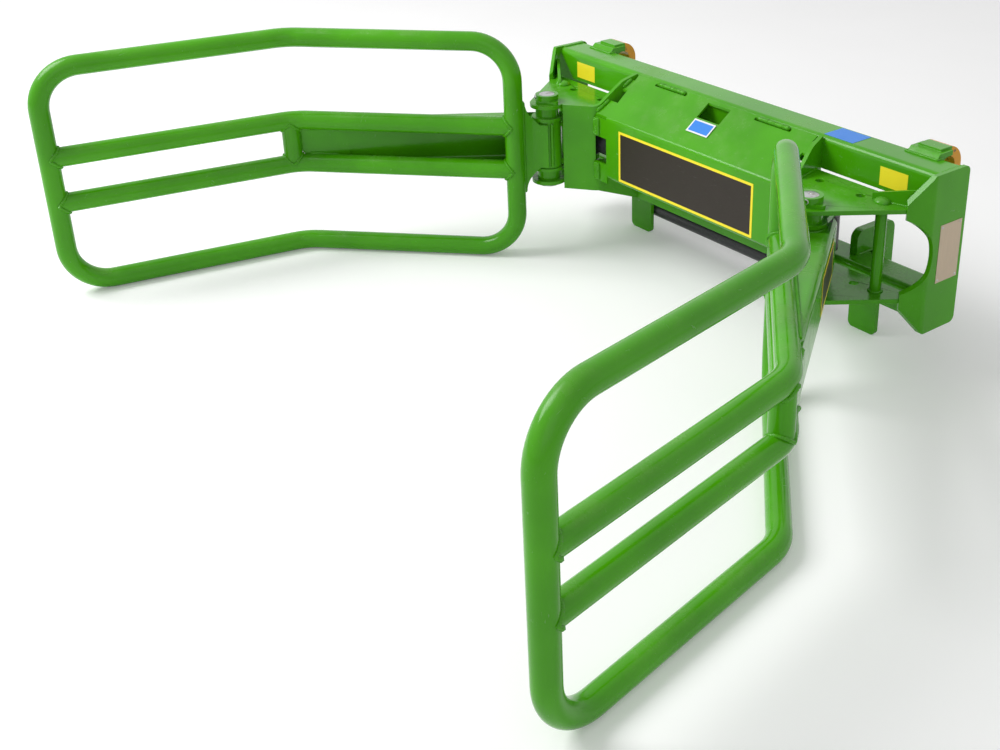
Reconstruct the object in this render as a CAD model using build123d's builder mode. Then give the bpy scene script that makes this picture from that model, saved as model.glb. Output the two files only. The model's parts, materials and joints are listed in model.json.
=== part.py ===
"""Bale handler for a front loader: a headstock frame that carries two grab arms of bent tube.

Millimetres, +Z up, +X to the right-hand arm, -Y to the front where the bale sits.
The origin is on the floor, in the middle of the handler's width and depth.
Depths in the frame are measured back from the line through the two arm pivots.
"""
import os
from math import acos, atan2, cos, hypot, radians, sin

from build123d import *

os.makedirs("parts", exist_ok=True)

# Clearances
running_fit = 0.05        # radial gap of a pin or rod in its bore
end_play = 0.5            # gap between an arm's boss and the spacer above or below it
weld_gap = 0.3            # gap of a sheet edge beside the plate that it is welded to
cope_gap = 0.5            # gap of a rail's coped end round the upright that it is welded to

# Arm tubes
tube_d = 48.3
tube_wall = 4.0
knee_post_d = 42.4
loop_height = 548.7       # from the centre of the bottom tube to the centre of the top one
rail_spacing = 116.3      # between the centres of the two middle rails
corner_radius = 100.0
knee_radius = 110.0

# Arm plan
pivot_spread = 903.0      # between the two pivot pins
open_angle = 45.9         # how far each arm stands open from straight ahead
near_post_reach = 75.9    # pivot to the near upright, along the arm
grip_offset = 60.0        # pivot to the tube line, towards the bale
near_run = 572.2
far_run = 599.4
knee_angle = 34.9

# Arm root
pin_d = 40.0
boss_d = 72.0
boss_height = 124.0
channel_height = 133.0
channel_plate = 8.0
channel_bend = 14.0       # centre-line radius of the channel's folds
channel_start = 28.0      # how far the web runs past the pivot, towards the headstock
channel_root = 57.6       # pivot to the web's outer face, beside the pivot
channel_toe = 612.0       # where the web ends between the rails, along the arm
channel_toe_offset = 51.0
toe_height = 60.0
flange_width = 140.0      # blank width of the folded flange before it is trimmed to the rails
flange_start = 55.0       # pivot to the flange's rear edge, along the web
flange_slant = 18.0       # how much farther along the arm that edge is at the rails
root_plate = 8.0
root_fold = 32.0          # pivot to the fold of the root plate, along the arm
root_flare = 234.0        # height of the root plate at the near upright
root_neck = 113.0
root_start = 8.0          # how far the root plate runs past the pivot
root_sweep = 30.0         # radius of the flare

# Levers and ram
lever_reach = 115.0
lever_angle = 112.0       # direction from pivot to lever pin, turned from +X, arm at rest
lever_width = 43.0
lever_plate = 14.0
lever_gap = 86.0          # clear height between the two straps of a lever
lever_foot_rear = 24.0    # how far a strap's foot on the web runs past the pivot
lever_foot_front = 50.0
lever_foot_inner = 15.0   # pivot to the foot's front corner, towards the bale
ram_pin_d = 30.0
ram_pin_head_d = 42.0
ram_pin_head = 8.0
ram_d = 60.0
rod_d = 40.0
eye_d = 56.0
eye_height = 76.0
ram_neck_d = 44.0
ram_neck = 38.0           # pin centre to the barrel's base
ram_travel_left = 10.0    # rod left showing when the arms are right open
ram_overtravel = 16.0     # rod travel from rest to right open
rod_engagement = 230.0
port_d = 22.0
port_height = 12.0
port_setback = 45.0       # port centre to the nearest end of the barrel

# Headstock heights
plate_gap = 192.0         # between the upper and lower pivot plates
pivot_plate = 10.0
beam_top = 475.0
beam_web = 74.0
lower_beam_top = 208.0
lower_beam_web = 68.0
end_plate_top = 478.0
end_plate_bottom = 120.0

# Headstock depths, back from the pivot line
beam_setback = 180.0
beam_depth = 87.0
beam_plate = 8.0
beam_bend = 10.0
beam_lip = 46.0
plate_rear = 163.0
end_plate_rear = 272.0

# End plates
headstock_width = 1280.0
end_plate = 10.0
end_bend_setback = 165.0
end_bend = 16.0
end_flange = 51.0
end_flange_angle = 50.5   # flange's turn from the X axis
end_corner = 14.0
cutout_r = 93.0
cutout_setback = 83.0
web_corner_cut = 55.0     # how far the beam's front web is cut back at its lower corners

# Pivot plates
nose_r = 44.0
access_hole_d = 20.0
access_hole_setback = 115.0
access_hole_outer = 489.0
access_hole_gap = 36.5     # cheek's bend to the middle of the inner access hole
post_d = 25.0
post_inset = 97.0         # end plate's outside to the post's middle
post_setback = 121.0
gusset_plate = 8.0
gusset_inner_inset = 123.0
gusset_inner_setback = 120.0
gusset_outer_inset = 16.0
gusset_outer_setback = 153.0
gusset_low = 13.0
gusset_high = 48.0

# Cheeks beside the ram cover
cheek_plate = 10.0
cheek_bend_setback = 71.0
cheek_nose_x = 408.0
cheek_nose_setback = 18.0
cheek_bend = 30.0
cheek_bottom = 180.0
cheek_rise_setback = 140.0
cheek_rise = 57.0
cheek_rise_round = 40.0
ram_slot = 76.0
ram_slot_setback = 66.0

# Ram cover
cover_plate = 5.0
cover_setback = 62.0
cover_top = 388.0
cover_bottom = 225.0
cover_return = 40.0
cover_bend = 10.0
cover_front_width = 582.0
cover_rear_width = 606.0
cover_hole = 76.0
cover_hole_start = 134.0
cover_hole_end = 172.0
cover_slot_x = 173.0
cover_slot = 114.0
cover_slot_width = 7.0
cover_edge_gap = 5.0      # cover to cheek at the rear
tab_reach = 42.2          # how far a tab reaches beyond the cover's front
tab_height = 50.0
tab_spread = 118.0        # between the middles of the upper and lower tabs
slope_tabs = ((66.0, 104.0), (138.0, 165.0))    # setbacks between which the slope is tabbed to the cheeks

# Pivot pins
retainer_plate = 8.0
retainer_length = 96.0
retainer_width = 70.0
retainer_round = 9.0
collar_d = 58.0
collar_height = 13.0
pin_recess = 2.0
pin_head_d = 54.0
pin_head = 8.0
spacer_d = 60.0
thrust_d = 80.0
thrust_height = 8.0

# Hitch
hook_x = 536.5
hook_width = 60.0
saddle_width = 79.0
saddle_front = 24.0       # how far the saddle reaches forward on the beam
saddle_height = 11.0
hook_overhang = 29.0      # beam's rear to the hook's centre
hook_z = 447.0
hook_r = 44.0
hook_mouth_r = 22.0
hook_tip_drop = 10.0
lug_x = 394.5
lug_width = 81.0
lug_plate = 10.0
lug_round = 14.0
lock_plate = 20.0
lock_plate_bottom = 95.0
lock_plate_top = 265.0
lock_plate_round = 22.0
lock_plate_lap = 48.0     # how far it reaches forward on the lower beam
lock_plate_depth = 68.0   # how far it reaches back from the lug
lock_bore_d = 34.0
lock_bore_z = 131.0
lock_bore_depth = 34.0    # lug's rear to the bore's centre
cross_tube_d = 42.4
cross_tube_wall = 5.0
cross_tube_z = 63.0

# Places that follow from the sizes above
tube_r = tube_d / 2
pin_r = pin_d / 2
boss_r = boss_d / 2
pin_bore_r = pin_r + running_fit
mid_z = tube_r + loop_height / 2
top_tube_z = tube_r + loop_height
upper_rail_z = mid_z + rail_spacing / 2
lower_rail_z = mid_z - rail_spacing / 2
pivot_x = pivot_spread / 2

swing = radians(open_angle)
bend_turn = radians(knee_angle)
near_post = (near_post_reach, -grip_offset)
knee = (near_post_reach + near_run, -grip_offset)
far_post = (knee[0] + far_run * cos(bend_turn), knee[1] - far_run * sin(bend_turn))
knee_inset = knee_radius * (1 / cos(bend_turn / 2) - 1)
knee_crown = (knee[0] - knee_inset * sin(bend_turn / 2), knee[1] - knee_inset * cos(bend_turn / 2))

# The far upright and the hooks set the depth, so they place the pivots about the middle.
front_reach = far_post[0] * cos(swing) - far_post[1] * sin(swing) + tube_r
beam_rear = beam_setback + beam_depth
hook_setback = beam_rear + hook_overhang
rear_reach = hook_setback + hook_r
pivot_y = (front_reach - rear_reach) / 2

arm_plane = Plane(origin=(pivot_x, pivot_y, 0), x_dir=(sin(swing), -cos(swing), 0), z_dir=(0, 0, 1))
arm_side = Plane(origin=(pivot_x, pivot_y, mid_z), x_dir=arm_plane.x_dir, z_dir=-arm_plane.y_dir)

upper_plate_z = mid_z + plate_gap / 2
lower_plate_z = mid_z - plate_gap / 2 - pivot_plate
plate_top = upper_plate_z + pivot_plate
end_x = headstock_width / 2
beam_half = end_x - end_plate
post_x = end_x - post_inset
gusset_inner_x = end_x - gusset_inner_inset
gusset_outer_x = end_x - gusset_outer_inset
cheek_bend_x = cover_front_width / 2 + tab_reach + weld_gap + cheek_plate / 2
access_hole_inner = cheek_bend_x + access_hole_gap
cheek_rear_x = cover_rear_width / 2 + cover_edge_gap + cheek_plate / 2
cheek_slope = (cheek_bend_x - cheek_rear_x) / (beam_setback - cheek_bend_setback)
lever_turn = radians(lever_angle)
ram_x = pivot_x + lever_reach * cos(lever_turn)
ram_y = pivot_y + lever_reach * sin(lever_turn)
ram_pin_r = ram_pin_d / 2


def back(setback):
    """Y of a place that lies this far behind the pivot line."""
    return pivot_y + setback


def save(piece, name):
    """Write one piece as its own file."""
    piece.label = name
    export_step(piece, f"parts/{name}.step")


def save_pair(piece, name):
    """Write a right-hand piece and its mirror image."""
    save(piece, f"right_{name}")
    save(mirror(piece, about=Plane.YZ), f"left_{name}")


def bent_tube(points, radii, bore=True, mode=Mode.ADD):
    """Round tube, or its full envelope, along straight runs and bends in the arm's own axes."""
    with BuildLine(arm_plane) as route:
        FilletPolyline(*points, radius=radii)
    with BuildSketch(Plane(origin=route.line @ 0, z_dir=route.line % 0)) as section:
        Circle(tube_r)
        if bore:
            Circle(tube_r - tube_wall, mode=Mode.SUBTRACT)
    sweep(section.sketch, path=route.line, mode=mode)


def at_height(place, height):
    """A point of the arm's plan, lifted to a height."""
    return (place[0], place[1], height)


def rail_route(height):
    """Corner points of a middle rail, from upright to upright."""
    return [at_height(place, height) for place in (near_post, knee, far_post)]


def ring(center, outer_r, inner_r, bottom, height):
    """Round collar standing on a level, added to the piece in hand."""
    with BuildSketch(Plane(origin=(center[0], center[1], bottom))) as disc:
        Circle(outer_r)
        if inner_r:
            Circle(inner_r, mode=Mode.SUBTRACT)
    extrude(disc.sketch, amount=height)


# Hoops: the outer loop of each arm, as an upper and a lower bow that meet half way up the uprights
for bow, level in (("upper", top_tube_z), ("lower", tube_r)):
    corners = [at_height(place, level) for place in (near_post, knee, far_post)]
    ends = [at_height(place, mid_z) for place in (near_post, far_post)]
    with BuildPart() as hoop:
        bent_tube([ends[0], *corners, ends[1]], (corner_radius, knee_radius, corner_radius))
    save_pair(hoop.part, f"hoop_{bow}")

# Middle rails, coped to the uprights
for bow, level in (("upper", upper_rail_z), ("lower", lower_rail_z)):
    with BuildPart() as rail:
        bent_tube(rail_route(level), (knee_radius,))
        with BuildSketch(arm_plane):
            with Locations(near_post, far_post):
                Circle(tube_r + cope_gap)
        extrude(amount=top_tube_z, mode=Mode.SUBTRACT)
    save_pair(rail.part, f"rail_{bow}")

# Short post between the rails at the knee
with BuildPart() as knee_post:
    with BuildSketch(arm_plane.offset(lower_rail_z)):
        with Locations(knee_crown):
            Circle(knee_post_d / 2)
            Circle(knee_post_d / 2 - tube_wall, mode=Mode.SUBTRACT)
    extrude(amount=rail_spacing)
    for level in (upper_rail_z, lower_rail_z):
        bent_tube(rail_route(level), (knee_radius,), bore=False, mode=Mode.SUBTRACT)
save_pair(knee_post.part, "knee_post")

# Arm channel: a folded plate whose web runs from outside the boss to the rails, flanges trimmed to them
web_fall = channel_root - channel_plate / 2
web_slope = (web_fall + channel_toe_offset) / channel_toe
web_dir = arm_plane.x_dir - arm_plane.y_dir * web_slope
web_mid_start = (-channel_start, web_fall + web_slope * channel_start)
rail_side = -grip_offset + tube_r
flange_end = (web_fall - rail_side) / web_slope
half_fold = (channel_height - channel_plate) / 2


def web_at(along):
    """Offset of the channel web's middle plane at a distance along the arm."""
    return web_fall - web_slope * along


with BuildPart() as arm_channel:
    section_origin = arm_plane.from_local_coords(Vector(*web_mid_start, mid_z))
    section = Plane(origin=section_origin, x_dir=(0, 0, 1), z_dir=web_dir)
    with BuildSketch(section):
        with BuildLine():
            FilletPolyline(
                (half_fold, flange_width), (half_fold, 0), (-half_fold, 0), (-half_fold, flange_width),
                radius=channel_bend,
            )
        trace(line_width=channel_plate)
    extrude(amount=channel_toe + channel_start)
    with BuildSketch(arm_plane):
        with BuildLine():
            Polyline(
                (flange_start, web_at(flange_start) + channel_plate),
                (flange_end, rail_side + channel_plate),
                (flange_end, rail_side),
                (flange_start + flange_slant, rail_side),
                close=True,
            )
        make_face()
        with BuildLine():
            Line(web_mid_start, (flange_start + channel_plate, web_at(flange_start + channel_plate)))
        trace(line_width=channel_plate)
    extrude(amount=top_tube_z, mode=Mode.INTERSECT)
    with BuildSketch(Plane(origin=section_origin, x_dir=(0, 0, 1), z_dir=web_dir)):
        Rectangle(toe_height, channel_plate)
    extrude(amount=channel_toe + channel_start)
save_pair(arm_channel.part, "arm_channel")

# Root plate between boss and near upright, flared upwards and downwards
with BuildPart() as root:
    with BuildSketch(arm_plane):
        with BuildLine():
            FilletPolyline(
                (-root_start, -boss_r - root_plate / 2), (root_fold, -boss_r - root_plate / 2), near_post,
                radius=root_plate,
            )
        trace(line_width=root_plate)
    extrude(amount=top_tube_z)
    with BuildSketch(arm_side):
        with BuildLine():
            FilletPolyline(
                (-boss_r, root_neck / 2), (near_post_reach - tube_r, root_neck / 2),
                (near_post_reach - tube_r, root_flare / 2), (near_post_reach, root_flare / 2),
                (near_post_reach, -root_flare / 2), (near_post_reach - tube_r, -root_flare / 2),
                (near_post_reach - tube_r, -root_neck / 2), (-boss_r, -root_neck / 2),
                radius=(root_sweep, 0, 0, 0, 0, root_sweep),
            )
            Line((-boss_r, -root_neck / 2), (-boss_r, root_neck / 2))
        make_face()
    extrude(amount=near_run, both=True, mode=Mode.INTERSECT)
    with BuildSketch(arm_plane):
        with Locations(near_post):
            Circle(tube_r)
        Circle(boss_r)
    extrude(amount=top_tube_z, mode=Mode.SUBTRACT)
save_pair(root.part, "root_plate")

# Boss that turns on the pivot pin
with BuildPart() as boss:
    ring((pivot_x, pivot_y), boss_r, pin_bore_r, mid_z - boss_height / 2, boss_height)
save_pair(boss.part, "arm_boss")

# Lever: two straps on the boss with the ram's eye between them, each with a foot on the channel's web
web_skin = channel_plate / 2 * hypot(1, web_slope) + weld_gap
with BuildPart() as lever:
    for level in (mid_z + lever_gap / 2, mid_z - lever_gap / 2 - lever_plate):
        with BuildSketch(Plane(origin=(pivot_x, pivot_y, level))):
            with Locations(((ram_x - pivot_x) / 2, (ram_y - pivot_y) / 2)):
                SlotCenterToCenter(lever_reach, lever_width, rotation=lever_angle)
            with Locations((ram_x - pivot_x, ram_y - pivot_y)):
                Circle(ram_pin_r + running_fit, mode=Mode.SUBTRACT)
        extrude(amount=lever_plate)
        with BuildSketch(arm_plane.offset(level)):
            with BuildLine():
                Polyline(
                    (-lever_foot_rear, web_at(-lever_foot_rear) - web_skin),
                    (lever_foot_front, web_at(lever_foot_front) - web_skin),
                    (lever_foot_front, -lever_foot_inner),
                    (0, 0),
                    close=True,
                )
            make_face()
        extrude(amount=lever_plate)
    with BuildSketch(arm_plane):
        Circle(boss_r)
    extrude(amount=top_tube_z, mode=Mode.SUBTRACT)
save_pair(lever.part, "lever")

# Lever pins: one through the barrel's eye on the left, and a headed stub in each right-hand strap
pin_top = mid_z + lever_gap / 2 + lever_plate
pin_bottom = mid_z - lever_gap / 2 - lever_plate
with BuildPart() as left_ram_pin:
    ring((-ram_x, ram_y), ram_pin_r, 0, pin_bottom, pin_top - pin_bottom)
    ring((-ram_x, ram_y), ram_pin_head_d / 2, 0, pin_top, ram_pin_head)
    ring((-ram_x, ram_y), ram_pin_head_d / 2, 0, pin_bottom - ram_pin_head, ram_pin_head)
save(left_ram_pin.part, "left_ram_pin")
with BuildPart() as right_ram_pin:
    ring((ram_x, ram_y), ram_pin_r, 0, pin_top - lever_plate, lever_plate)
    ring((ram_x, ram_y), ram_pin_head_d / 2, 0, pin_top, ram_pin_head)
    ring((ram_x, ram_y), ram_pin_r, 0, pin_bottom, lever_plate)
    ring((ram_x, ram_y), ram_pin_head_d / 2, 0, pin_bottom - ram_pin_head, ram_pin_head)
save(right_ram_pin.part, "right_ram_pin")

# Ram: the barrel hangs on the left lever, and its rod reaches the right one
barrel_start = -ram_x + ram_neck
barrel_end = ram_x - ram_neck - ram_overtravel - ram_travel_left
along_ram = Plane(origin=(0, ram_y, mid_z), x_dir=(0, 1, 0), z_dir=(1, 0, 0))
with BuildPart() as ram_barrel:
    with BuildSketch(along_ram.offset(-ram_x)):
        Circle(ram_neck_d / 2)
    extrude(amount=ram_neck)
    with BuildSketch(along_ram.offset(barrel_start)):
        Circle(ram_d / 2)
    extrude(amount=barrel_end - barrel_start)
    ring((-ram_x, ram_y), eye_d / 2, 0, mid_z - eye_height / 2, eye_height)
    for port_x in (barrel_start + port_setback, barrel_end - port_setback):
        with BuildSketch(Plane(origin=(port_x, ram_y, mid_z), x_dir=(1, 0, 0), z_dir=(0, 1, 0))):
            Circle(port_d / 2)
        extrude(amount=ram_d / 2 + port_height)
    with BuildSketch(Plane(origin=(-ram_x, ram_y, mid_z))):
        Circle(ram_pin_r + running_fit)
    extrude(amount=eye_height, both=True, mode=Mode.SUBTRACT)
    with BuildSketch(along_ram.offset(barrel_end)):
        Circle(rod_d / 2 + running_fit)
    extrude(amount=-rod_engagement - ram_overtravel - ram_travel_left, mode=Mode.SUBTRACT)
save(ram_barrel.part, "ram_barrel")
with BuildPart() as ram_rod:
    with BuildSketch(along_ram.offset(barrel_end - rod_engagement)):
        Circle(rod_d / 2)
    extrude(amount=ram_x - barrel_end + rod_engagement)
    ring((ram_x, ram_y), eye_d / 2, 0, mid_z - eye_height / 2, eye_height)
    with BuildSketch(Plane(origin=(ram_x, ram_y, mid_z))):
        Circle(ram_pin_r + running_fit)
    extrude(amount=eye_height, both=True, mode=Mode.SUBTRACT)
save(ram_rod.part, "ram_rod")

# Beams of the headstock: folded channels, open below
with BuildPart() as top_beam:
    with BuildSketch(Plane.YZ):
        with BuildLine():
            FilletPolyline(
                (back(beam_setback + beam_plate / 2), beam_top - beam_web),
                (back(beam_setback + beam_plate / 2), beam_top - beam_plate / 2),
                (back(beam_setback + beam_depth - beam_plate / 2), beam_top - beam_plate / 2),
                (back(beam_setback + beam_depth - beam_plate / 2), beam_top - beam_lip),
                radius=beam_bend,
            )
        trace(line_width=beam_plate)
    extrude(amount=beam_half, both=True)
    for side in (1, -1):
        with BuildSketch(Plane.XZ.offset(-back(beam_setback))):
            with BuildLine():
                Polyline(
                    (side * beam_half, beam_top - beam_bend),
                    (side * (beam_half - web_corner_cut), beam_top - beam_web),
                    (side * beam_half, beam_top - beam_web),
                    close=True,
                )
            make_face()
        extrude(amount=-beam_depth / 2, mode=Mode.SUBTRACT)
save(top_beam.part, "top_beam")

with BuildPart() as lower_beam:
    with BuildSketch(Plane.YZ):
        with BuildLine():
            FilletPolyline(
                (back(beam_setback + beam_plate / 2), lower_beam_top - lower_beam_web),
                (back(beam_setback + beam_plate / 2), lower_beam_top - beam_plate / 2),
                (back(beam_setback + beam_depth - beam_plate / 2), lower_beam_top - beam_plate / 2),
                (back(beam_setback + beam_depth - beam_plate / 2), lower_beam_top - lower_beam_web),
                radius=beam_bend,
            )
        trace(line_width=beam_plate)
    extrude(amount=beam_half, both=True)
save(lower_beam.part, "lower_beam")

# End plates: each folded once, with a tapered flange and a round cut-out
flange_turn = radians(end_flange_angle)
end_mid_x = end_x - end_plate / 2
flange_tip_setback = end_bend_setback - end_flange * sin(flange_turn)
flange_tip = (end_mid_x - end_flange * cos(flange_turn), back(flange_tip_setback))
with BuildPart() as end:
    with BuildSketch(Plane.XY):
        with BuildLine():
            FilletPolyline(
                (end_mid_x, back(end_plate_rear)), (end_mid_x, back(end_bend_setback)), flange_tip, radius=end_bend
            )
        trace(line_width=end_plate)
    extrude(amount=end_plate_top)
    with BuildSketch(Plane.YZ):
        with BuildLine():
            FilletPolyline(
                (back(end_plate_rear), end_plate_bottom),
                (back(end_plate_rear), end_plate_top),
                (back(end_bend_setback), end_plate_top),
                (flange_tip[1] - end_plate, plate_top),
                (flange_tip[1] - end_plate, lower_plate_z),
                (back(end_bend_setback), end_plate_bottom),
                radius=(end_corner, end_corner, 0, 0, end_corner, end_corner),
                close=True,
            )
        make_face()
        with Locations((back(cutout_setback), mid_z)):
            Circle(cutout_r, mode=Mode.SUBTRACT)
    extrude(amount=headstock_width, mode=Mode.INTERSECT)
save_pair(end.part, "end_plate")

# Cheeks: bent plates that join the beams to the pivot plates, slotted for the ram
cheek_corner = (cheek_bend_x, back(cheek_bend_setback))
cheek_nose = (cheek_nose_x, back(cheek_nose_setback))
with BuildPart() as cheek:
    with BuildSketch(Plane.XY):
        with BuildLine():
            FilletPolyline(
                (cheek_rear_x - cheek_plate * cheek_slope, back(beam_setback + cheek_plate)),
                cheek_corner, cheek_nose, radius=cheek_bend,
            )
        trace(line_width=cheek_plate)
    extrude(amount=beam_top)
    with BuildSketch(Plane.YZ):
        with BuildLine():
            FilletPolyline(
                (back(beam_setback), lower_beam_top - lower_beam_web),
                (back(beam_setback), beam_top),
                (back(cheek_rise_setback), plate_top + cheek_rise),
                (back(cheek_bend_setback), plate_top),
                (pivot_y - cheek_nose_setback, plate_top),
                (pivot_y - cheek_nose_setback, cheek_bottom),
                (back(cheek_bend_setback), cheek_bottom),
                radius=(0, 0, cheek_rise_round, cheek_rise_round, 0, 0, 0),
                close=True,
            )
        make_face()
    extrude(amount=headstock_width, mode=Mode.INTERSECT)
    with BuildSketch(Plane.YZ):
        with Locations((back(ram_slot_setback), mid_z)):
            Rectangle(beam_setback, ram_slot, align=(Align.MIN, Align.CENTER))
    extrude(amount=headstock_width, mode=Mode.SUBTRACT)
save_pair(cheek.part, "cheek")

# Pivot plates: held between cheek and end plate, rounded about the pin
tip_angle = atan2(flange_tip[1] - pivot_y, flange_tip[0] - pivot_x)
tip_reach = hypot(flange_tip[0] - pivot_x, flange_tip[1] - pivot_y)
nose_angle = tip_angle - acos(nose_r / tip_reach)
nose_tangent = (pivot_x + nose_r * cos(nose_angle), pivot_y + nose_r * sin(nose_angle))
plate_corner = (cheek_rear_x + cheek_slope * (beam_setback - plate_rear), back(plate_rear))
holes = [(x, back(access_hole_setback)) for x in (access_hole_inner, access_hole_outer)]
for layer, level in (("upper", upper_plate_z), ("lower", lower_plate_z)):
    with BuildPart() as plate:
        with BuildSketch(Plane.XY.offset(level)):
            with BuildLine():
                FilletPolyline(
                    nose_tangent, flange_tip, (end_mid_x, back(plate_rear)), plate_corner,
                    cheek_corner, cheek_nose, (pivot_x, pivot_y),
                    radius=(0, 0, 0, 0, cheek_bend, 0, 0),
                    close=True,
                )
            make_face()
            with Locations((pivot_x, pivot_y)):
                Circle(nose_r)
                Circle(pin_bore_r, mode=Mode.SUBTRACT)
            with Locations(*holes):
                Circle(access_hole_d / 2, mode=Mode.SUBTRACT)
        extrude(amount=pivot_plate)
        add(cheek.part, mode=Mode.SUBTRACT)
        add(end.part, mode=Mode.SUBTRACT)
    save_pair(plate.part, f"{layer}_pivot_plate")

# Post between the pivot plates and gusset on the upper one
with BuildPart() as post:
    ring((post_x, back(post_setback)), post_d / 2, 0, lower_plate_z + pivot_plate, plate_gap)
save_pair(post.part, "post")

with BuildPart() as gusset:
    with BuildSketch(Plane.XY.offset(plate_top)):
        with BuildLine():
            Line((gusset_inner_x, back(gusset_inner_setback)), (gusset_outer_x, back(gusset_outer_setback)))
        trace(line_width=gusset_plate)
    extrude(amount=gusset_high)
    with BuildSketch(Plane.XZ.offset(-pivot_y)):
        with BuildLine():
            FilletPolyline(
                (gusset_inner_x - gusset_plate, plate_top),
                (end_x, plate_top),
                (end_x, plate_top + gusset_high),
                (gusset_inner_x - gusset_plate, plate_top + gusset_low),
                radius=(0, 0, 0, gusset_plate),
                close=True,
            )
        make_face()
    extrude(amount=-end_plate_rear, mode=Mode.INTERSECT)
    add(end.part, mode=Mode.SUBTRACT)
save_pair(gusset.part, "gusset")

# Ram cover: one folded sheet in front of the ram, tabbed to the cheeks
sheet = cover_plate / 2
rise = (beam_top - cover_top) / (beam_setback - cover_setback)
slope_start = (back(cover_setback + sheet), cover_top - sheet)
slope_end = (back(beam_setback + cover_plate), cover_top - sheet + rise * (beam_setback - cover_setback))
cheek_skin = cheek_plate / 2 * hypot(1, cheek_slope) + weld_gap
with BuildPart() as slope_strips:
    with BuildSketch(Plane.YZ):
        with BuildLine():
            Line(slope_start, slope_end)
        trace(line_width=cover_plate)
    extrude(amount=headstock_width / 2, both=True)
    with BuildSketch(Plane.XY):
        for start, stop in slope_tabs:
            edges = [(cheek_bend_x - cheek_slope * (at - cheek_bend_setback) - cheek_skin, back(at))
                     for at in (start, stop)]
            with BuildLine():
                Polyline(*edges, *[(-x, y) for x, y in reversed(edges)], close=True)
            make_face()
    extrude(amount=beam_top + cover_plate, mode=Mode.INTERSECT)
with BuildPart() as cover:
    with BuildSketch(Plane.YZ):
        with BuildLine():
            FilletPolyline(
                (back(cover_setback + cover_return), cover_bottom + sheet),
                (back(cover_setback + sheet), cover_bottom + sheet),
                slope_start,
                slope_end,
                radius=cover_bend,
            )
        trace(line_width=cover_plate)
    extrude(amount=headstock_width / 2, both=True)
    with BuildSketch(Plane.XY):
        with BuildLine():
            Polyline(
                (-cover_front_width / 2, back(cover_setback)), (cover_front_width / 2, back(cover_setback)),
                (cover_rear_width / 2, back(beam_setback)), (-cover_rear_width / 2, back(beam_setback)),
                close=True,
            )
        make_face()
    extrude(amount=beam_top + cover_plate, mode=Mode.INTERSECT)
    add(slope_strips.part)
    with BuildSketch(Plane.XY.offset(cover_top)):
        with Locations((0, back((cover_hole_start + cover_hole_end) / 2))):
            Rectangle(cover_hole, cover_hole_end - cover_hole_start)
        for side in (1, -1):
            with Locations((side * cover_slot_x, back(cover_hole_end))):
                SlotOverall(cover_slot, cover_slot_width)
    extrude(amount=beam_top, mode=Mode.SUBTRACT)
    with BuildSketch(Plane.XZ.offset(-back(cover_setback + cover_plate))):
        for level in (mid_z + tab_spread / 2, mid_z - tab_spread / 2):
            with Locations((0, level)):
                Rectangle(cover_front_width + 2 * tab_reach, tab_height)
        with Locations((0, mid_z)):
            Rectangle(cover_front_width - cover_plate, tab_spread + tab_height, mode=Mode.SUBTRACT)
    extrude(amount=cover_plate)
save(cover.part, "ram_cover")

# Pivot pins, their collars and retainers, and the spacers that centre the arms
pivot = (pivot_x, pivot_y)
collar_top = plate_top + retainer_plate + collar_height
with BuildPart() as pivot_pin:
    ring(pivot, pin_r, 0, lower_plate_z, collar_top - pin_recess - lower_plate_z)
    ring(pivot, pin_head_d / 2, 0, lower_plate_z - pin_head, pin_head)
save_pair(pivot_pin.part, "pivot_pin")

with BuildPart() as retainer:
    with BuildSketch(Plane(origin=(pivot_x, pivot_y, plate_top))):
        with BuildLine():
            FilletPolyline(
                (retainer_length / 2, 0), (0, retainer_width / 2),
                (-retainer_length / 2, 0), (0, -retainer_width / 2),
                radius=retainer_round,
                close=True,
            )
        make_face()
    extrude(amount=retainer_plate)
    ring(pivot, collar_d / 2, 0, plate_top + retainer_plate, collar_height)
    with BuildSketch(Plane(origin=(pivot_x, pivot_y, plate_top))):
        Circle(pin_bore_r)
    extrude(amount=retainer_plate + collar_height, mode=Mode.SUBTRACT)
save_pair(retainer.part, "pin_retainer")

boss_top = mid_z + boss_height / 2
boss_bottom = mid_z - boss_height / 2
with BuildPart() as spacers:
    ring(pivot, thrust_d / 2, pin_bore_r, boss_top + end_play, thrust_height)
    ring(pivot, spacer_d / 2, pin_bore_r, boss_top + end_play, upper_plate_z - boss_top - end_play)
    ring(pivot, thrust_d / 2, pin_bore_r, boss_bottom - end_play - thrust_height, thrust_height)
    ring(pivot, spacer_d / 2, pin_bore_r, lower_plate_z + pivot_plate,
         boss_bottom - end_play - lower_plate_z - pivot_plate)
save_pair(spacers.part, "pivot_spacers")

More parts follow.
